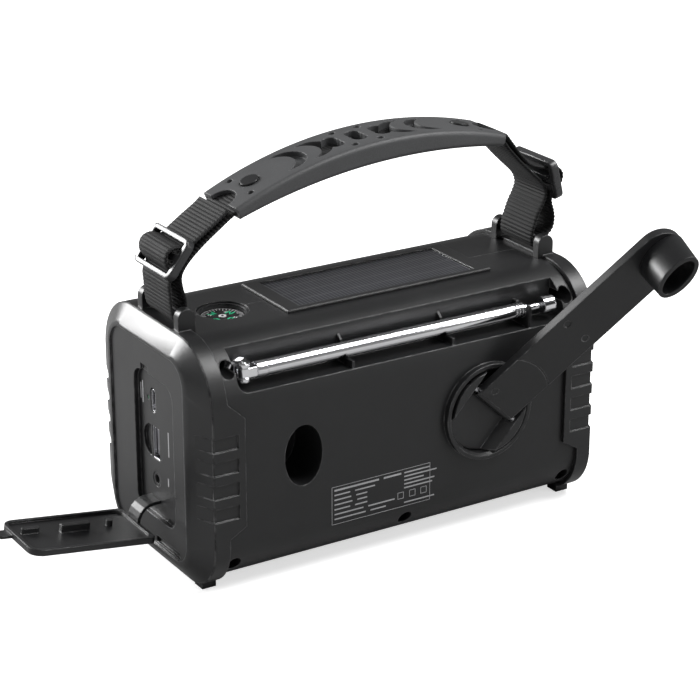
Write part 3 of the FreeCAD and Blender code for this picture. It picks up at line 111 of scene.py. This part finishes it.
def add_bar(bm, centre, u, v, n, length, width, height):
    """A low bar printed on a face: length along u, width along v, height along n."""
    corners = []
    for k in (0, 1):
        for a, b in ((-1, -1), (1, -1), (1, 1), (-1, 1)):
            p = centre + u * (a * length / 2) + v * (b * width / 2) + n * (k * height)
            corners.append(bm.verts.new(p))
    quads = [(3, 2, 1, 0), (4, 5, 6, 7), (0, 1, 5, 4), (1, 2, 6, 5), (2, 3, 7, 6), (3, 0, 4, 7)]
    for q in quads:
        bm.faces.new([corners[i] for i in q])


def add_ring(bm, centre, u, v, n, r_out, r_in, height, steps=28):
    """A flat printed ring standing height off the face whose normal is n."""
    loops = []
    for k, r in ((0, r_out), (1, r_out), (1, r_in), (0, r_in)):
        loop = []
        for i in range(steps):
            a = 2 * math.pi * i / steps
            place = centre + u * (r * math.cos(a)) + v * (r * math.sin(a)) + n * (k * height)
            loop.append(bm.verts.new(place))
        loops.append(loop)
    for a, b in ((0, 1), (1, 2), (2, 3), (3, 0)):
        for i in range(steps):
            j = (i + 1) % steps
            bm.faces.new([loops[a][i], loops[a][j], loops[b][j], loops[b][i]])


def smooth_path(points, step):
    """Even points along a Catmull-Rom curve through the given (x, z) points."""
    pts = [Vector(p) for p in points]
    pts = [pts[0] * 2 - pts[1]] + pts + [pts[-1] * 2 - pts[-2]]
    fine = []
    for a, b, c, d in zip(pts, pts[1:], pts[2:], pts[3:]):
        for i in range(24):
            t = i / 24
            fine.append(0.5 * ((2 * b) + (c - a) * t + (2 * a - 5 * b + 4 * c - d) * t * t
                               + (3 * b - a - 3 * c + d) * t ** 3))
    fine.append(pts[-2])
    out = [fine[0]]
    left = step
    for a, b in zip(fine, fine[1:]):
        gap = (b - a).length
        while gap >= left:
            a = a + (b - a) * (left / gap)
            out.append(a)
            gap = (b - a).length
            left = step
        left -= gap
    return out


# ------------------------------------------------------------------ shared shader groups
def group(name, inputs, outputs):
    tree = bpy.data.node_groups.new(name, "ShaderNodeTree")
    for label, value in inputs:
        socket = tree.interface.new_socket(name=label, in_out="INPUT", socket_type="NodeSocketFloat")
        socket.default_value = value
    for label, kind in outputs:
        tree.interface.new_socket(name=label, in_out="OUTPUT", socket_type=kind)
    return tree, tree.nodes.new("NodeGroupInput"), tree.nodes.new("NodeGroupOutput")


def maths(tree, kind, a, b=None, clamp=False):
    node = tree.nodes.new("ShaderNodeMath")
    node.operation = kind
    node.use_clamp = clamp
    for i, value in enumerate((a, b)):
        if value is None:
            continue
        if isinstance(value, (int, float)):
            node.inputs[i].default_value = value
        else:
            tree.links.new(value, node.inputs[i])
    return node.outputs[0]


def noise(tree, vector, scale, detail=3.0, rough=0.55):
    node = tree.nodes.new("ShaderNodeTexNoise")
    node.inputs["Detail"].default_value = detail
    node.inputs["Roughness"].default_value = rough
    if isinstance(scale, (int, float)):
        node.inputs["Scale"].default_value = scale
    else:
        tree.links.new(scale, node.inputs["Scale"])
    tree.links.new(vector, node.inputs["Vector"])
    return node.outputs["Fac"]


def spread(tree, value, low, high, out_low=0.0, out_high=1.0):
    node = tree.nodes.new("ShaderNodeMapRange")
    for i, v in ((1, low), (2, high), (3, out_low), (4, out_high)):
        node.inputs[i].default_value = v
    tree.links.new(value, node.inputs[0])
    return node.outputs[0]


def make_grain():
    tree, g_in, g_out = group("Moulded grain", [("Grain size", 2600.0)], [
        ("Height", "NodeSocketFloat"), ("Tone", "NodeSocketFloat"), ("Smudge", "NodeSocketFloat")])
    where = tree.nodes.new("ShaderNodeTexCoord").outputs["Object"]
    fine = noise(tree, where, g_in.outputs[0], 2.0)
    coarse = noise(tree, where, 55.0, 4.0)
    smudge = noise(tree, where, 21.0, 5.0, 0.62)
    tree.links.new(fine, g_out.inputs["Height"])
    mixed = maths(tree, "ADD", maths(tree, "MULTIPLY", fine, 0.5), maths(tree, "MULTIPLY", coarse, 0.5))
    tree.links.new(spread(tree, mixed, 0.35, 0.65), g_out.inputs["Tone"])
    tree.links.new(spread(tree, smudge, 0.42, 0.68), g_out.inputs["Smudge"])
    return tree


# Pale edge mask, partly wear and partly a painted highlight along the edges; also puts out the rounded
# normal.
def make_wear_and_highlight():
    tree, g_in, g_out = group("Edge wear and painted highlight", [("Amount", 0.5)], [
        ("Mask", "NodeSocketFloat"), ("Rounded", "NodeSocketVector")])
    geometry = tree.nodes.new("ShaderNodeNewGeometry")
    where = tree.nodes.new("ShaderNodeTexCoord").outputs["Object"]
    rounded = tree.nodes.new("ShaderNodeBevel")
    rounded.samples = 4
    rounded.inputs["Radius"].default_value = 0.0007
    agree = tree.nodes.new("ShaderNodeVectorMath")
    agree.operation = "DOT_PRODUCT"
    tree.links.new(rounded.outputs[0], agree.inputs[0])
    tree.links.new(geometry.outputs["Normal"], agree.inputs[1])
    tree.links.new(rounded.outputs[0], g_out.inputs["Rounded"])
    # Edges get the pale colour: partly wear, partly a painted highlight.
    edge = spread(tree, agree.outputs["Value"], 0.985, 0.88)
    patch = spread(tree, noise(tree, where, 240.0, 5.0), 0.40, 0.62)
    mask = maths(tree, "MULTIPLY", edge, patch, True)
    tree.links.new(maths(tree, "MULTIPLY", mask, g_in.outputs[0], True), g_out.inputs["Mask"])
    return tree


def make_weave():
    tree, g_in, g_out = group("Woven yarn", [("Yarn pitch", 0.00055)], [
        ("Height", "NodeSocketFloat"), ("Tone", "NodeSocketFloat")])
    uv = tree.nodes.new("ShaderNodeUVMap")
    split = tree.nodes.new("ShaderNodeSeparateXYZ")
    tree.links.new(uv.outputs[0], split.inputs[0])
    across = maths(tree, "DIVIDE", split.outputs[0], g_in.outputs[0])
    wave = maths(tree, "ABSOLUTE", maths(tree, "SINE", maths(tree, "MULTIPLY", across, math.pi)))
    along = maths(tree, "DIVIDE", split.outputs[1], g_in.outputs[0])
    slant = maths(tree, "SINE", maths(tree, "MULTIPLY", maths(tree, "ADD", along, maths(
        tree, "MULTIPLY", across, 0.6)), math.pi * 1.3))
    yarn = maths(tree, "MULTIPLY", wave, maths(tree, "ADD", maths(tree, "MULTIPLY", slant, 0.25), 0.75))
    where = tree.nodes.new("ShaderNodeTexCoord").outputs["Object"]
    fuzz = noise(tree, where, 1500.0, 3.0)
    height = maths(tree, "ADD", maths(tree, "MULTIPLY", yarn, 0.7), maths(tree, "MULTIPLY", fuzz, 0.3))
    tree.links.new(height, g_out.inputs["Height"])
    # Tone follows the yarn height: darker in the hollows between yarns as painted shade, with random fuzz
    # mixed in.
    tree.links.new(spread(tree, height, 0.2, 0.9), g_out.inputs["Tone"])
    return tree


GRAIN = make_grain()
WEAR_AND_HIGHLIGHT = make_wear_and_highlight()
WEAVE = make_weave()
YARN_PITCH = 0.00055     # metres


# ------------------------------------------------------------------ materials
def place_group(tree, shared, values):
    node = tree.nodes.new("ShaderNodeGroup")
    node.node_tree = shared
    for i, value in enumerate(values):
        node.inputs[i].default_value = value
    return node


def mix_colour(tree, fac, a, b):
    node = tree.nodes.new("ShaderNodeMix")
    node.data_type = "RGBA"
    tree.links.new(fac, node.inputs[0])
    for socket, value in ((node.inputs[6], a), (node.inputs[7], b)):
        if isinstance(value, tuple):
            socket.default_value = (*value, 1.0)
        else:
            tree.links.new(value, socket)
    return node.outputs[2]


def start_material(name):
    material = bpy.data.materials.new(name)
    material.use_nodes = True
    tree = material.node_tree
    return material, tree, tree.nodes["Principled BSDF"]


def bump(tree, shader, height, strength, distance, normal=None):
    node = tree.nodes.new("ShaderNodeBump")
    node.inputs["Strength"].default_value = strength
    node.inputs["Distance"].default_value = distance
    tree.links.new(height, node.inputs["Height"])
    if normal:
        tree.links.new(normal, node.inputs["Normal"])
    tree.links.new(node.outputs[0], shader.inputs["Normal"])


def moulded(name, colour, rough, size=2600.0, depth=0.00004, strength=0.5, tone=0.16, wear_and_highlight_amount=0.5,
            wear_and_highlight_colour=(0.16, 0.16, 0.165), coat=0.0, metal=0.0, smudge=0.08):
    """A moulded, turned or plated surface: grain, tone, smudges, and pale edges that are partly wear and
    partly a painted highlight.
    """
    material, tree, shader = start_material(name)
    grain = place_group(tree, GRAIN, (size,))
    wear_and_highlight = place_group(tree, WEAR_AND_HIGHLIGHT, (wear_and_highlight_amount,))
    dark = tuple(c * (1 - tone) for c in colour)
    light = tuple(min(1.0, c * (1 + tone)) for c in colour)
    base = mix_colour(tree, grain.outputs["Tone"], dark, light)
    # Pale edges: partly wear, partly a painted highlight along the edges.
    base = mix_colour(tree, wear_and_highlight.outputs["Mask"], base, wear_and_highlight_colour)
    tree.links.new(base, shader.inputs["Base Color"])
    shader.inputs["Metallic"].default_value = metal
    shader.inputs["Coat Weight"].default_value = coat
    shader.inputs["Coat Roughness"].default_value = 0.12
    shader.inputs["Specular IOR Level"].default_value = 0.5
    rough_out = maths(tree, "ADD", maths(tree, "MULTIPLY", grain.outputs["Smudge"], smudge),
                      rough - smudge / 2)
    tree.links.new(rough_out, shader.inputs["Roughness"])
    bump(tree, shader, grain.outputs["Height"], strength, depth, wear_and_highlight.outputs["Rounded"])
    return material


def woven(name, colour, light):
    material, tree, shader = start_material(name)
    weave = place_group(tree, WEAVE, (YARN_PITCH,))
    # Raised yarns take the paler colour and the hollows the darker one: painted shade between yarns, partly
    # random fuzz.
    base = mix_colour(tree, weave.outputs["Tone"], colour, light)
    tree.links.new(base, shader.inputs["Base Color"])
    shader.inputs["Roughness"].default_value = 0.66
    shader.inputs["Specular IOR Level"].default_value = 0.3
    shader.inputs["Sheen Weight"].default_value = 0.04
    shader.inputs["Sheen Roughness"].default_value = 0.4
    bump(tree, shader, weave.outputs["Height"], 0.8, 0.00012)
    return material


def clear(name, tint, alpha, rough=0.03):
    """A thin clear sheet: gloss over what lies under it."""
    material, tree, shader = start_material(name)
    grain = place_group(tree, GRAIN, (900.0,))
    base = mix_colour(tree, grain.outputs["Smudge"], tint, tuple(min(1.0, c * 1.3) for c in tint))
    tree.links.new(base, shader.inputs["Base Color"])
    tree.links.new(spread(tree, grain.outputs["Smudge"], 0, 1, rough, rough + 0.05),
                   shader.inputs["Roughness"])
    tree.links.new(spread(tree, grain.outputs["Smudge"], 0, 1, alpha, alpha + 0.04), shader.inputs["Alpha"])
    shader.inputs["IOR"].default_value = 1.49
    return material


def solar_strips(name):
    """Dark cells in narrow strips, with pale collector lines across them."""
    material, tree, shader = start_material(name)
    where = tree.nodes.new("ShaderNodeTexCoord").outputs["Object"]
    split = tree.nodes.new("ShaderNodeSeparateXYZ")
    tree.links.new(where, split.inputs[0])

    def lines(coordinate, pitch, low, high):
        turn = maths(tree, "MULTIPLY", coordinate, 2 * math.pi / pitch)
        return spread(tree, maths(tree, "COSINE", turn), low, high)

    fine = lines(split.outputs[0], 0.0016, 0.35, 0.95)
    strip = lines(split.outputs[1], 0.0075, 0.990, 0.999)
    mottle = spread(tree, noise(tree, where, 160.0, 3.0), 0.35, 0.7)
    base = mix_colour(tree, mottle, (0.010, 0.011, 0.016), (0.018, 0.019, 0.026))
    base = mix_colour(tree, maths(tree, "MULTIPLY", fine, 0.8), base, (0.13, 0.132, 0.14))
    base = mix_colour(tree, maths(tree, "MULTIPLY", strip, 0.8), base, (0.16, 0.16, 0.165))
    tree.links.new(base, shader.inputs["Base Color"])
    shader.inputs["Roughness"].default_value = 0.32
    bump(tree, shader, fine, 0.5, 0.00006)
    return material


# The edge colours below are partly wear and, where paler than the material, a painted highlight on its edges.
CASE = moulded("case plastic", (0.011, 0.0112, 0.0118), 0.45, depth=0.00005, strength=0.6, wear_and_highlight_amount=0.9,
               wear_and_highlight_colour=(0.17, 0.17, 0.172))
LOOKS = {
    "case_plastic": CASE,
    "bumper_rubber": moulded("bumper rubber", (0.012, 0.0122, 0.0128), 0.38, wear_and_highlight_amount=0.8,
                             wear_and_highlight_colour=(0.15, 0.15, 0.153)),
    "cap_plastic": moulded("end cap plastic", (0.014, 0.0142, 0.015), 0.34, wear_and_highlight_amount=0.8,
                           wear_and_highlight_colour=(0.22, 0.22, 0.225)),
    "grip_plastic": moulded("grip rubber", (0.062, 0.063, 0.065), 0.52, size=1900.0, depth=0.00007, wear_and_highlight_amount=0.45,
                            wear_and_highlight_colour=(0.17, 0.17, 0.175)),
    "crank_plastic": moulded("crank plastic", (0.014, 0.0142, 0.015), 0.40, wear_and_highlight_amount=0.8,
                             wear_and_highlight_colour=(0.22, 0.22, 0.223)),
    "knob_plastic": moulded("knob plastic", (0.012, 0.0122, 0.013), 0.33, wear_and_highlight_amount=0.5,
                            wear_and_highlight_colour=(0.11, 0.11, 0.115)),
    "cover_rubber": moulded("cover rubber", (0.011, 0.0112, 0.012), 0.42, wear_and_highlight_amount=0.4,
                            wear_and_highlight_colour=(0.08, 0.08, 0.082)),
    "buckle_plastic": moulded("buckle plastic", (0.030, 0.0305, 0.032), 0.30, wear_and_highlight_amount=0.6,
                              wear_and_highlight_colour=(0.2, 0.2, 0.205)),
    "chrome": moulded("chrome plate", (0.88, 0.88, 0.90), 0.07, depth=0.000004, strength=0.15, tone=0.03,
                      wear_and_highlight_amount=0.2,
                      wear_and_highlight_colour=(0.7, 0.7, 0.7), metal=1.0, smudge=0.05),
    "steel": moulded("turned steel", (0.52, 0.52, 0.54), 0.30, depth=0.00001, tone=0.08, metal=1.0, wear_and_highlight_amount=0.3,
                     wear_and_highlight_colour=(0.7, 0.7, 0.7)),
    "black_steel": moulded("black zinc steel", (0.06, 0.06, 0.062), 0.38, metal=0.8, wear_and_highlight_amount=0.6,
                           wear_and_highlight_colour=(0.35, 0.35, 0.36)),
    "brass": moulded("turned brass", (0.72, 0.52, 0.22), 0.3, depth=0.00001, tone=0.1, metal=1.0, wear_and_highlight_amount=0.2,
                     wear_and_highlight_colour=(0.8, 0.66, 0.4)),
    "solar": solar_strips("solar strips"),
    "clear": clear("clear window", (0.02, 0.02, 0.021), 0.07),
    "compass_dial": moulded("dial card", (0.008, 0.008, 0.008), 0.5, wear_and_highlight_amount=0.1),
    "gear_plastic": moulded("white acetal", (0.72, 0.71, 0.66), 0.42, wear_and_highlight_amount=0.2, wear_and_highlight_colour=(0.8, 0.8, 0.78)),
    "board": moulded("circuit board", (0.02, 0.11, 0.05), 0.35, wear_and_highlight_amount=0.2, coat=0.4),
    "cell_wrap": moulded("cell sleeve", (0.05, 0.17, 0.34), 0.28, wear_and_highlight_amount=0.1, coat=0.3),
    "speaker_paper": moulded("speaker paper", (0.03, 0.03, 0.03), 0.8, size=900.0, depth=0.0001, wear_and_highlight_amount=0.2),
    "ferrite": moulded("ferrite", (0.05, 0.05, 0.052), 0.6, wear_and_highlight_amount=0.4),
    "reflector": moulded("metallised bowl", (0.86, 0.87, 0.89), 0.06, depth=0.000003, tone=0.02, wear_and_highlight_amount=0.0,
                         metal=1.0,
                         smudge=0.04),
    "led": moulded("phosphor dome", (0.85, 0.72, 0.22), 0.3, wear_and_highlight_amount=0.0, coat=0.6),
    "inner_plastic": moulded("inner plastic", (0.03, 0.03, 0.031), 0.5, wear_and_highlight_amount=0.3),
    "display": moulded("dark display glass", (0.006, 0.008, 0.008), 0.08, depth=0.000002, strength=0.1,
                       wear_and_highlight_amount=0.0,
                       coat=0.8, smudge=0.04),
    "webbing": woven("nylon webbing", (0.003, 0.003, 0.0032), (0.018, 0.018, 0.0185)),
}
PRINT = moulded("pale print", (0.42, 0.42, 0.43), 0.5, wear_and_highlight_amount=0.0, tone=0.2)
GREEN = moulded("green print", (0.03, 0.80, 0.38), 0.5, wear_and_highlight_amount=0.0, tone=0.2)
WHITE = moulded("white print", (0.90, 0.90, 0.91), 0.5, wear_and_highlight_amount=0.0, tone=0.1)

# ------------------------------------------------------------------ finishes and soft edges on the CAD nodes
EDGE = {
    "handle_grip": 0.5, "buckles": 0.45, "crank_arm": 0.55, "crank_knob": 0.45, "port_cover": 0.4,
    "bumper_ports": 0.45,
    "bumper_torch": 0.45, "end_cap_ports": 0.4, "end_cap_torch": 0.4, "rear_shell": 0.35, "front_shell": 0.35,
    "solar_frame": 0.25, "crank_hub": 0.35, "antenna_tip": 0.5, "antenna_knuckle": 0.3,
    "antenna_swivel": 0.25,
    "grip_rivets": 0.3, "antenna_tube_outer": 0.12, "usb_a_socket": 0.05, "usb_c_socket": 0.05,
}
for entry in frame["record"]["subparts"]:
    node = NODES[entry["node"]]
    look = LOOKS[entry["material_slot"]]
    if not node.material_slots:
        node.data.materials.append(look)
    for each in node.material_slots:
        each.material = look
    width = EDGE.get(entry["node"], 0.0)
    if width:
        weld = node.modifiers.new("join seams", "WELD")
        weld.merge_threshold = 0.000002
        bevel = node.modifiers.new("soft edges", "BEVEL")
        bevel.width = width * MM
        bevel.segments = 2
        bevel.limit_method = "ANGLE"
        bevel.angle_limit = math.radians(38)
        bevel.use_clamp_overlap = True
        tidy = node.modifiers.new("even shading", "WEIGHTED_NORMAL")
        tidy.keep_sharp = False

# ------------------------------------------------------------------ webbing
WEB_W = 22.0             # millimetres from here on, as the paths are
WEB_T = 1.5
RIB = 1.55               # pitch of the ribs across the webbing
CORE_W = 21.0
CORE_T = 0.9
BUCKLE_HALF = 8.3
EAR = (81.5, 101.3)      # middle of the ports ear's bar
EAR_BAR_R = 1.8
SLACK = 0.05             # between bar and webbing


def strap(name, node, points, body, width=WEB_W, thick=WEB_T, rib=RIB, step=0.2):
    """One length of ribbed webbing whose middle follows the (x, z) points, in millimetres.

    A strap with no body rides nothing.
    """
    path = smooth_path(points, step)
    verts = []
    uvs = []
    half = width / 2
    shape = [(-1.0, 0.0), (-0.97, 0.7), (-0.88, 1.0), (-0.45, 1.0), (0.0, 1.0), (0.45, 1.0), (0.88, 1.0),
             (0.97, 0.7), (1.0, 0.0), (0.97, -0.7), (0.88, -1.0), (0.45, -1.0), (0.0, -1.0), (-0.45, -1.0),
             (-0.88, -1.0), (-0.97, -0.7)]
    count = len(shape)
    for i, p in enumerate(path):
        ahead = path[min(i + 1, len(path) - 1)] - path[max(i - 1, 0)]
        ahead.normalize()
        normal = Vector((-ahead[1], ahead[0]))
        s = i * step
        wave = abs(math.sin(math.pi * s / rib))
        low = abs(math.sin(math.pi * (s / rib + 0.5)))
        crumple = 0.12 * math.sin(s / 7.3 + len(name)) + 0.08 * math.sin(s / 3.1)
        for a, b in shape:
            lift = 0.55 + 0.45 * (wave if b > 0 else low) ** 0.8
            side = half * a * (1 - 0.012 + 0.018 * wave)
            bow = 0.35 * (1 - a * a) + crumple * a
            q = p + normal * (b * thick / 2 * lift + bow * 0.4)
            verts.append((q[0] * MM, side * MM, q[1] * MM))
            uvs.append((side * MM, s * MM))
    faces = []
    for i in range(len(path) - 1):
        for k in range(count):
            j = (k + 1) % count
            faces.append((i * count + k, i * count + j, (i + 1) * count + j, (i + 1) * count + k))
    faces.append(tuple(range(count)))
    faces.append(tuple(range((len(path) - 1) * count, len(path) * count))[::-1])
    piece = new_piece(name, verts, faces, LOOKS["webbing"], body)
    layer = piece.data.uv_layers.new(name="cloth")
    for loop in piece.data.loops:
        layer.data[loop.index].uv = uvs[loop.vertex_index]
    if node:
        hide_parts(node)
    return piece, (len(path) - 1) * step


def buckle_point(centre, degrees, u, v):
    """The (x, z) point u along a buckle's plate and v out from it."""
    a = math.radians(degrees)
    side = 1 if centre[0] > 0 else -1
    up = (math.cos(a), math.sin(a))
    out = (up[1] * side, -up[0] * side)
    return (centre[0] + up[0] * u + out[0] * v, centre[1] + up[1] * u + out[1] * v)


def folded_strap(name, node, centre, degrees, inner, outer, end):
    """From the grip down behind the buckle, round the ear's bar and back up over the buckle's middle bar.

    The path runs through the inner points, round the ear's bar, through the outer points, over the buckle's
    bars and on through the end points.
    """
    side = 1 if centre[0] > 0 else -1
    h = BUCKLE_HALF
    threaded = [(-h - 1.0, -2.7), (-h + 3.0, -1.5), (-3.4, 3.0), (0.0, 4.9), (3.4, 3.2), (h - 3.0, -1.4)]
    r = EAR_BAR_R + WEB_T / 2 + SLACK
    x, z = EAR
    round_bar = [(x - r, z), (x - r * 0.7, z - r * 0.7), (x, z - r), (x + r * 0.7, z - r * 0.7), (x + r, z)]
    points = list(inner) + [(side * a, b) for a, b in round_bar] + list(outer)
    points += [buckle_point(centre, degrees, u, v) for u, v in threaded] + list(end)
    piece, length = strap(name, node, points, None)
    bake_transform(piece)
    return piece


folded_strap("strap_ports", "webbing_ports", (81.7, 122.5), 126.9,
             [(38.7, 143.4), (47.9, 140.1), (56.9, 136.0), (63.9, 131.4), (71.0, 126.4), (77.6, 120.4),
              (80.4, 115.8),
              (80.0, 111.0), (78.7, 106.6), (78.6, 103.4)],
             [(84.6, 104.4), (84.9, 109.0)],
             [(73.4, 128.5), (68.2, 131.9), (63.4, 135.0), (60.4, 137.4)])
folded_strap("strap_torch", "webbing_torch", (-88.2, 126.0), 76.0,
             [(-43.3, 150.4), (-52.9, 148.5), (-62.4, 146.1), (-67.2, 141.0), (-72.2, 135.6), (-77.8, 130.2),
              (-83.4, 124.8), (-85.2, 120.4), (-84.1, 116.6), (-82.1, 113.0), (-80.6, 109.3), (-79.2, 105.2),
              (-78.9, 102.8)],
             [(-85.6, 102.4), (-88.6, 105.2), (-89.5, 109.4), (-88.8, 113.2)],
             [(-80.6, 132.2), (-76.6, 134.2), (-72.4, 138.2), (-68.3, 143.2), (-65.0, 147.4)])

# ------------------------------------------------------------ ribbed core seen through the grip's openings
GRIP_CENTRE = (-16.3, -17.8)
GRIP_BACK = 173.0
GRIP_TILT = 4.86
CORE_DROP = 3.35


def grip_point(degrees, drop):
    """The (x, z) point drop below the grip's back, at an angle from the grip's middle."""
    a = math.radians(GRIP_TILT + degrees)
    return (GRIP_CENTRE[0] + (GRIP_BACK - drop) * math.sin(a),
            GRIP_CENTRE[1] + (GRIP_BACK - drop) * math.cos(a))


core_path = [grip_point(degrees, CORE_DROP) for degrees in (-12, -8, -4, 0, 4, 8, 12)]
core, core_length = strap("grip_core_webbing", None, core_path, "handle", CORE_W, CORE_T, step=0.3)

# ------------------------------------------------------------------ printed marks
X_AXIS, Y_AXIS, Z_AXIS = Vector((1, 0, 0)), Vector((0, 1, 0)), Vector((0, 0, 1))


def stroke(bm, a, b, width, n, height):
    """A straight printed stroke from a to b, lying on the face whose normal is n."""
    run = b - a
    u = run.normalized()
    add_bar(bm, (a + b) / 2, u, n.cross(u), n, run.length + width, width, height)


LETTERS = {
    "N": [((-0.4, -0.5), (-0.4, 0.5)), ((-0.4, 0.5), (0.4, -0.5)), ((0.4, -0.5), (0.4, 0.5))],
    "E": [((-0.35, -0.5), (-0.35, 0.5)), ((-0.35, 0.5), (0.35, 0.5)), ((-0.35, 0.0), (0.2, 0.0)),
          ((-0.35, -0.5), (0.35, -0.5))],
    "S": [((0.35, 0.5), (-0.35, 0.5)), ((-0.35, 0.5), (-0.35, 0.0)), ((-0.35, 0.0), (0.35, 0.0)),
          ((0.35, 0.0), (0.35, -0.5)), ((0.35, -0.5), (-0.35, -0.5))],
    "W": [((-0.5, 0.5), (-0.25, -0.5)), ((-0.25, -0.5), (0.0, 0.3)), ((0.0, 0.3), (0.25, -0.5)),
          ((0.25, -0.5), (0.5, 0.5))],
}
card_box = [NODES["compass_card"].matrix_world @ Vector(c) for c in NODES["compass_card"].bound_box]
CARD = Vector((sum(c.x for c in card_box) / 8, sum(c.y for c in card_box) / 8, max(c.z for c in card_box)))


def dial(angle, radius):
    """A place on the compass card, with radius in millimetres."""
    return CARD + X_AXIS * (radius * MM * math.cos(angle)) + Y_AXIS * (radius * MM * math.sin(angle))


ticks = bmesh.new()
for i in range(36):
    a = 2 * math.pi * i / 36
    near = 6.9 if i % 3 else 6.3
    stroke(ticks, dial(a, near), dial(a, 8.0), 0.34 * MM, Z_AXIS, 0.04 * MM)
add_ring(ticks, CARD, X_AXIS, Y_AXIS, Z_AXIS, 8.35 * MM, 8.2 * MM, 0.04 * MM, 40)
for i in range(4):
    a = math.pi / 4 + i * math.pi / 2
    stroke(ticks, dial(a - 0.12, 4.6), dial(a + 0.12, 4.6), 0.5 * MM, Z_AXIS, 0.04 * MM)
    stroke(ticks, dial(a - 0.10, 5.5), dial(a + 0.10, 5.5), 0.4 * MM, Z_AXIS, 0.04 * MM)
from_bmesh("compass_ticks", ticks, WHITE, "compass")
letters = bmesh.new()
for i, letter in enumerate("NESW"):
    a = math.radians(205) - i * math.pi / 2
    out = Vector((math.cos(a), math.sin(a), 0))
    right = out.cross(Z_AXIS)
    centre = dial(a, 4.7)
    for start, stop in LETTERS[letter]:
        one = centre + right * (start[0] * 2.7 * MM) + out * (start[1] * 2.7 * MM)
        two = centre + right * (stop[0] * 2.7 * MM) + out * (stop[1] * 2.7 * MM)
        stroke(letters, one, two, 0.6 * MM, Z_AXIS, 0.05 * MM)
from_bmesh("compass_letters", letters, GREEN, "compass")
hub = bmesh.new()
add_ring(hub, CARD, X_AXIS, Y_AXIS, Z_AXIS, 1.5 * MM, 0.62 * MM, 0.3 * MM, 24)
from_bmesh("compass_hub_ring", hub, WHITE, "compass")

# A ruled rating plate with plain bars in place of its words, and plain shapes in place of its marks.
REAR_Y = 42.4 * MM
label = bmesh.new()


def plate(x, z, width, height):
    """One printed bar on the rear face; x runs to the left as seen from behind."""
    add_bar(label, Vector((x * MM, REAR_Y, z * MM)), X_AXIS, Z_AXIS, Y_AXIS, width * MM, height * MM,
            0.035 * MM)


for x in (35.3, -9.3):
    plate(x, 24.3, 0.18, 15.8)
for z in (32.1, 16.5):
    plate(13.0, z, 44.6, 0.18)
rows = [(30.6, 20.0, 8.0, 0.75), (28.6, 7.0, 9.0, 0.55), (26.6, 7.5, 5.0, 0.55), (24.6, 8.0, 4.5, 0.55),
        (22.6, 7.0, 5.5, 0.55), (20.6, 13.0, 12.0, 0.55), (18.6, 14.0, 7.0, 0.55)]
for z, first, second, tall in rows:
    plate(34.2 - first / 2, z, first, tall)
    plate(34.2 - first - 2.2 - second / 2, z, second, tall)
for z, run in ((30.6, 12.0), (29.0, 15.0), (27.4, 9.0), (25.8, 14.0), (24.2, 13.0), (18.0, 14.0)):
    plate(2.6 - run / 2, z, run, 0.55)
for x in (4.2, -1.2, -6.4):
    plate(x, 22.6, 2.6, 0.22)
    plate(x, 20.0, 2.6, 0.22)
    plate(x - 1.3, 21.3, 0.22, 2.6)
    plate(x + 1.3, 21.3, 0.22, 2.6)
from_bmesh("rating_plate", label, PRINT, "case")

# Short plain dashes beside the sockets.
marks = bmesh.new()
PANEL_X = 90.6 * MM
for y, z, tall in ((-7.4, 66.0, 9.0), (-9.0, 66.0, 6.5), (12.6, 51.0, 10.0), (11.6, 35.2, 3.2)):
    add_bar(marks, Vector((PANEL_X - 1.9 * MM, y * MM, z * MM)), Z_AXIS, Y_AXIS, X_AXIS, tall * MM,
            0.8 * MM, 0.03 * MM)
from_bmesh("socket_marks", marks, PRINT, "case")

# ------------------------------------------------------------------ floor, light
low = CAD_BOX[0][2]
floor_mesh = bpy.data.meshes.new("floor")
floor_mesh.from_pydata([(-6, -6, low), (6, -6, low), (6, 6, low), (-6, 6, low)], [], [(0, 1, 2, 3)])
floor = bpy.data.objects.new("floor", floor_mesh)
bpy.context.scene.collection.objects.link(floor)
floor_material, floor_tree, floor_shader = start_material("pale floor")
floor_seen = floor_tree.nodes.new("ShaderNodeLightPath").outputs["Is Camera Ray"]
floor_tone = mix_colour(floor_tree, floor_seen, (0.44, 0.44, 0.44), (0.93, 0.93, 0.93))
floor_tree.links.new(floor_tone, floor_shader.inputs["Base Color"])
floor_tree.links.new(spread(floor_tree, floor_seen, 0, 1, 0.0, 0.62),
                     floor_shader.inputs["Emission Strength"])
floor_shader.inputs["Roughness"].default_value = 0.7
floor_shader.inputs["Specular IOR Level"].default_value = 0.1
floor_shader.inputs["Emission Color"].default_value = (1.0, 1.0, 1.0, 1.0)
floor_mesh.materials.append(floor_material)

world = bpy.data.worlds.new("studio")
bpy.context.scene.world = world
world.use_nodes = True
sky = world.node_tree.nodes["Background"]
sky.inputs[0].default_value = (1.0, 1.0, 1.0, 1.0)
seen = world.node_tree.nodes.new("ShaderNodeLightPath").outputs["Is Camera Ray"]
world.node_tree.links.new(spread(world.node_tree, seen, 0, 1, 0.22, 1.0), sky.inputs[1])
bpy.context.scene.view_settings.view_transform = "Standard"


def softbox(name, place, target, size, power):
    lamp = bpy.data.lights.new(name, "AREA")
    lamp.shape = "RECTANGLE"
    lamp.size, lamp.size_y = size
    lamp.energy = power
    holder = bpy.data.objects.new(name, lamp)
    holder.location = place
    holder.rotation_euler = (Vector(target) - Vector(place)).to_track_quat("-Z", "Y").to_euler()
    bpy.context.scene.collection.objects.link(holder)


softbox("top softbox", (-0.55, 0.40, 1.05), (0, 0, 0.08), (0.6, 0.5), 13.0)
softbox("back softbox", (0.78, -1.25, 0.62), (0, 0, 0.08), (0.8, 0.5), 30.0)
softbox("rear softbox", (-1.1, 1.2, 0.60), (0, 0, 0.06), (0.4, 0.6), 4.0)
softbox("ports softbox", (1.4, 0.1, 0.9), (0.05, 0, 0.06), (0.5, 0.5), 3.0)
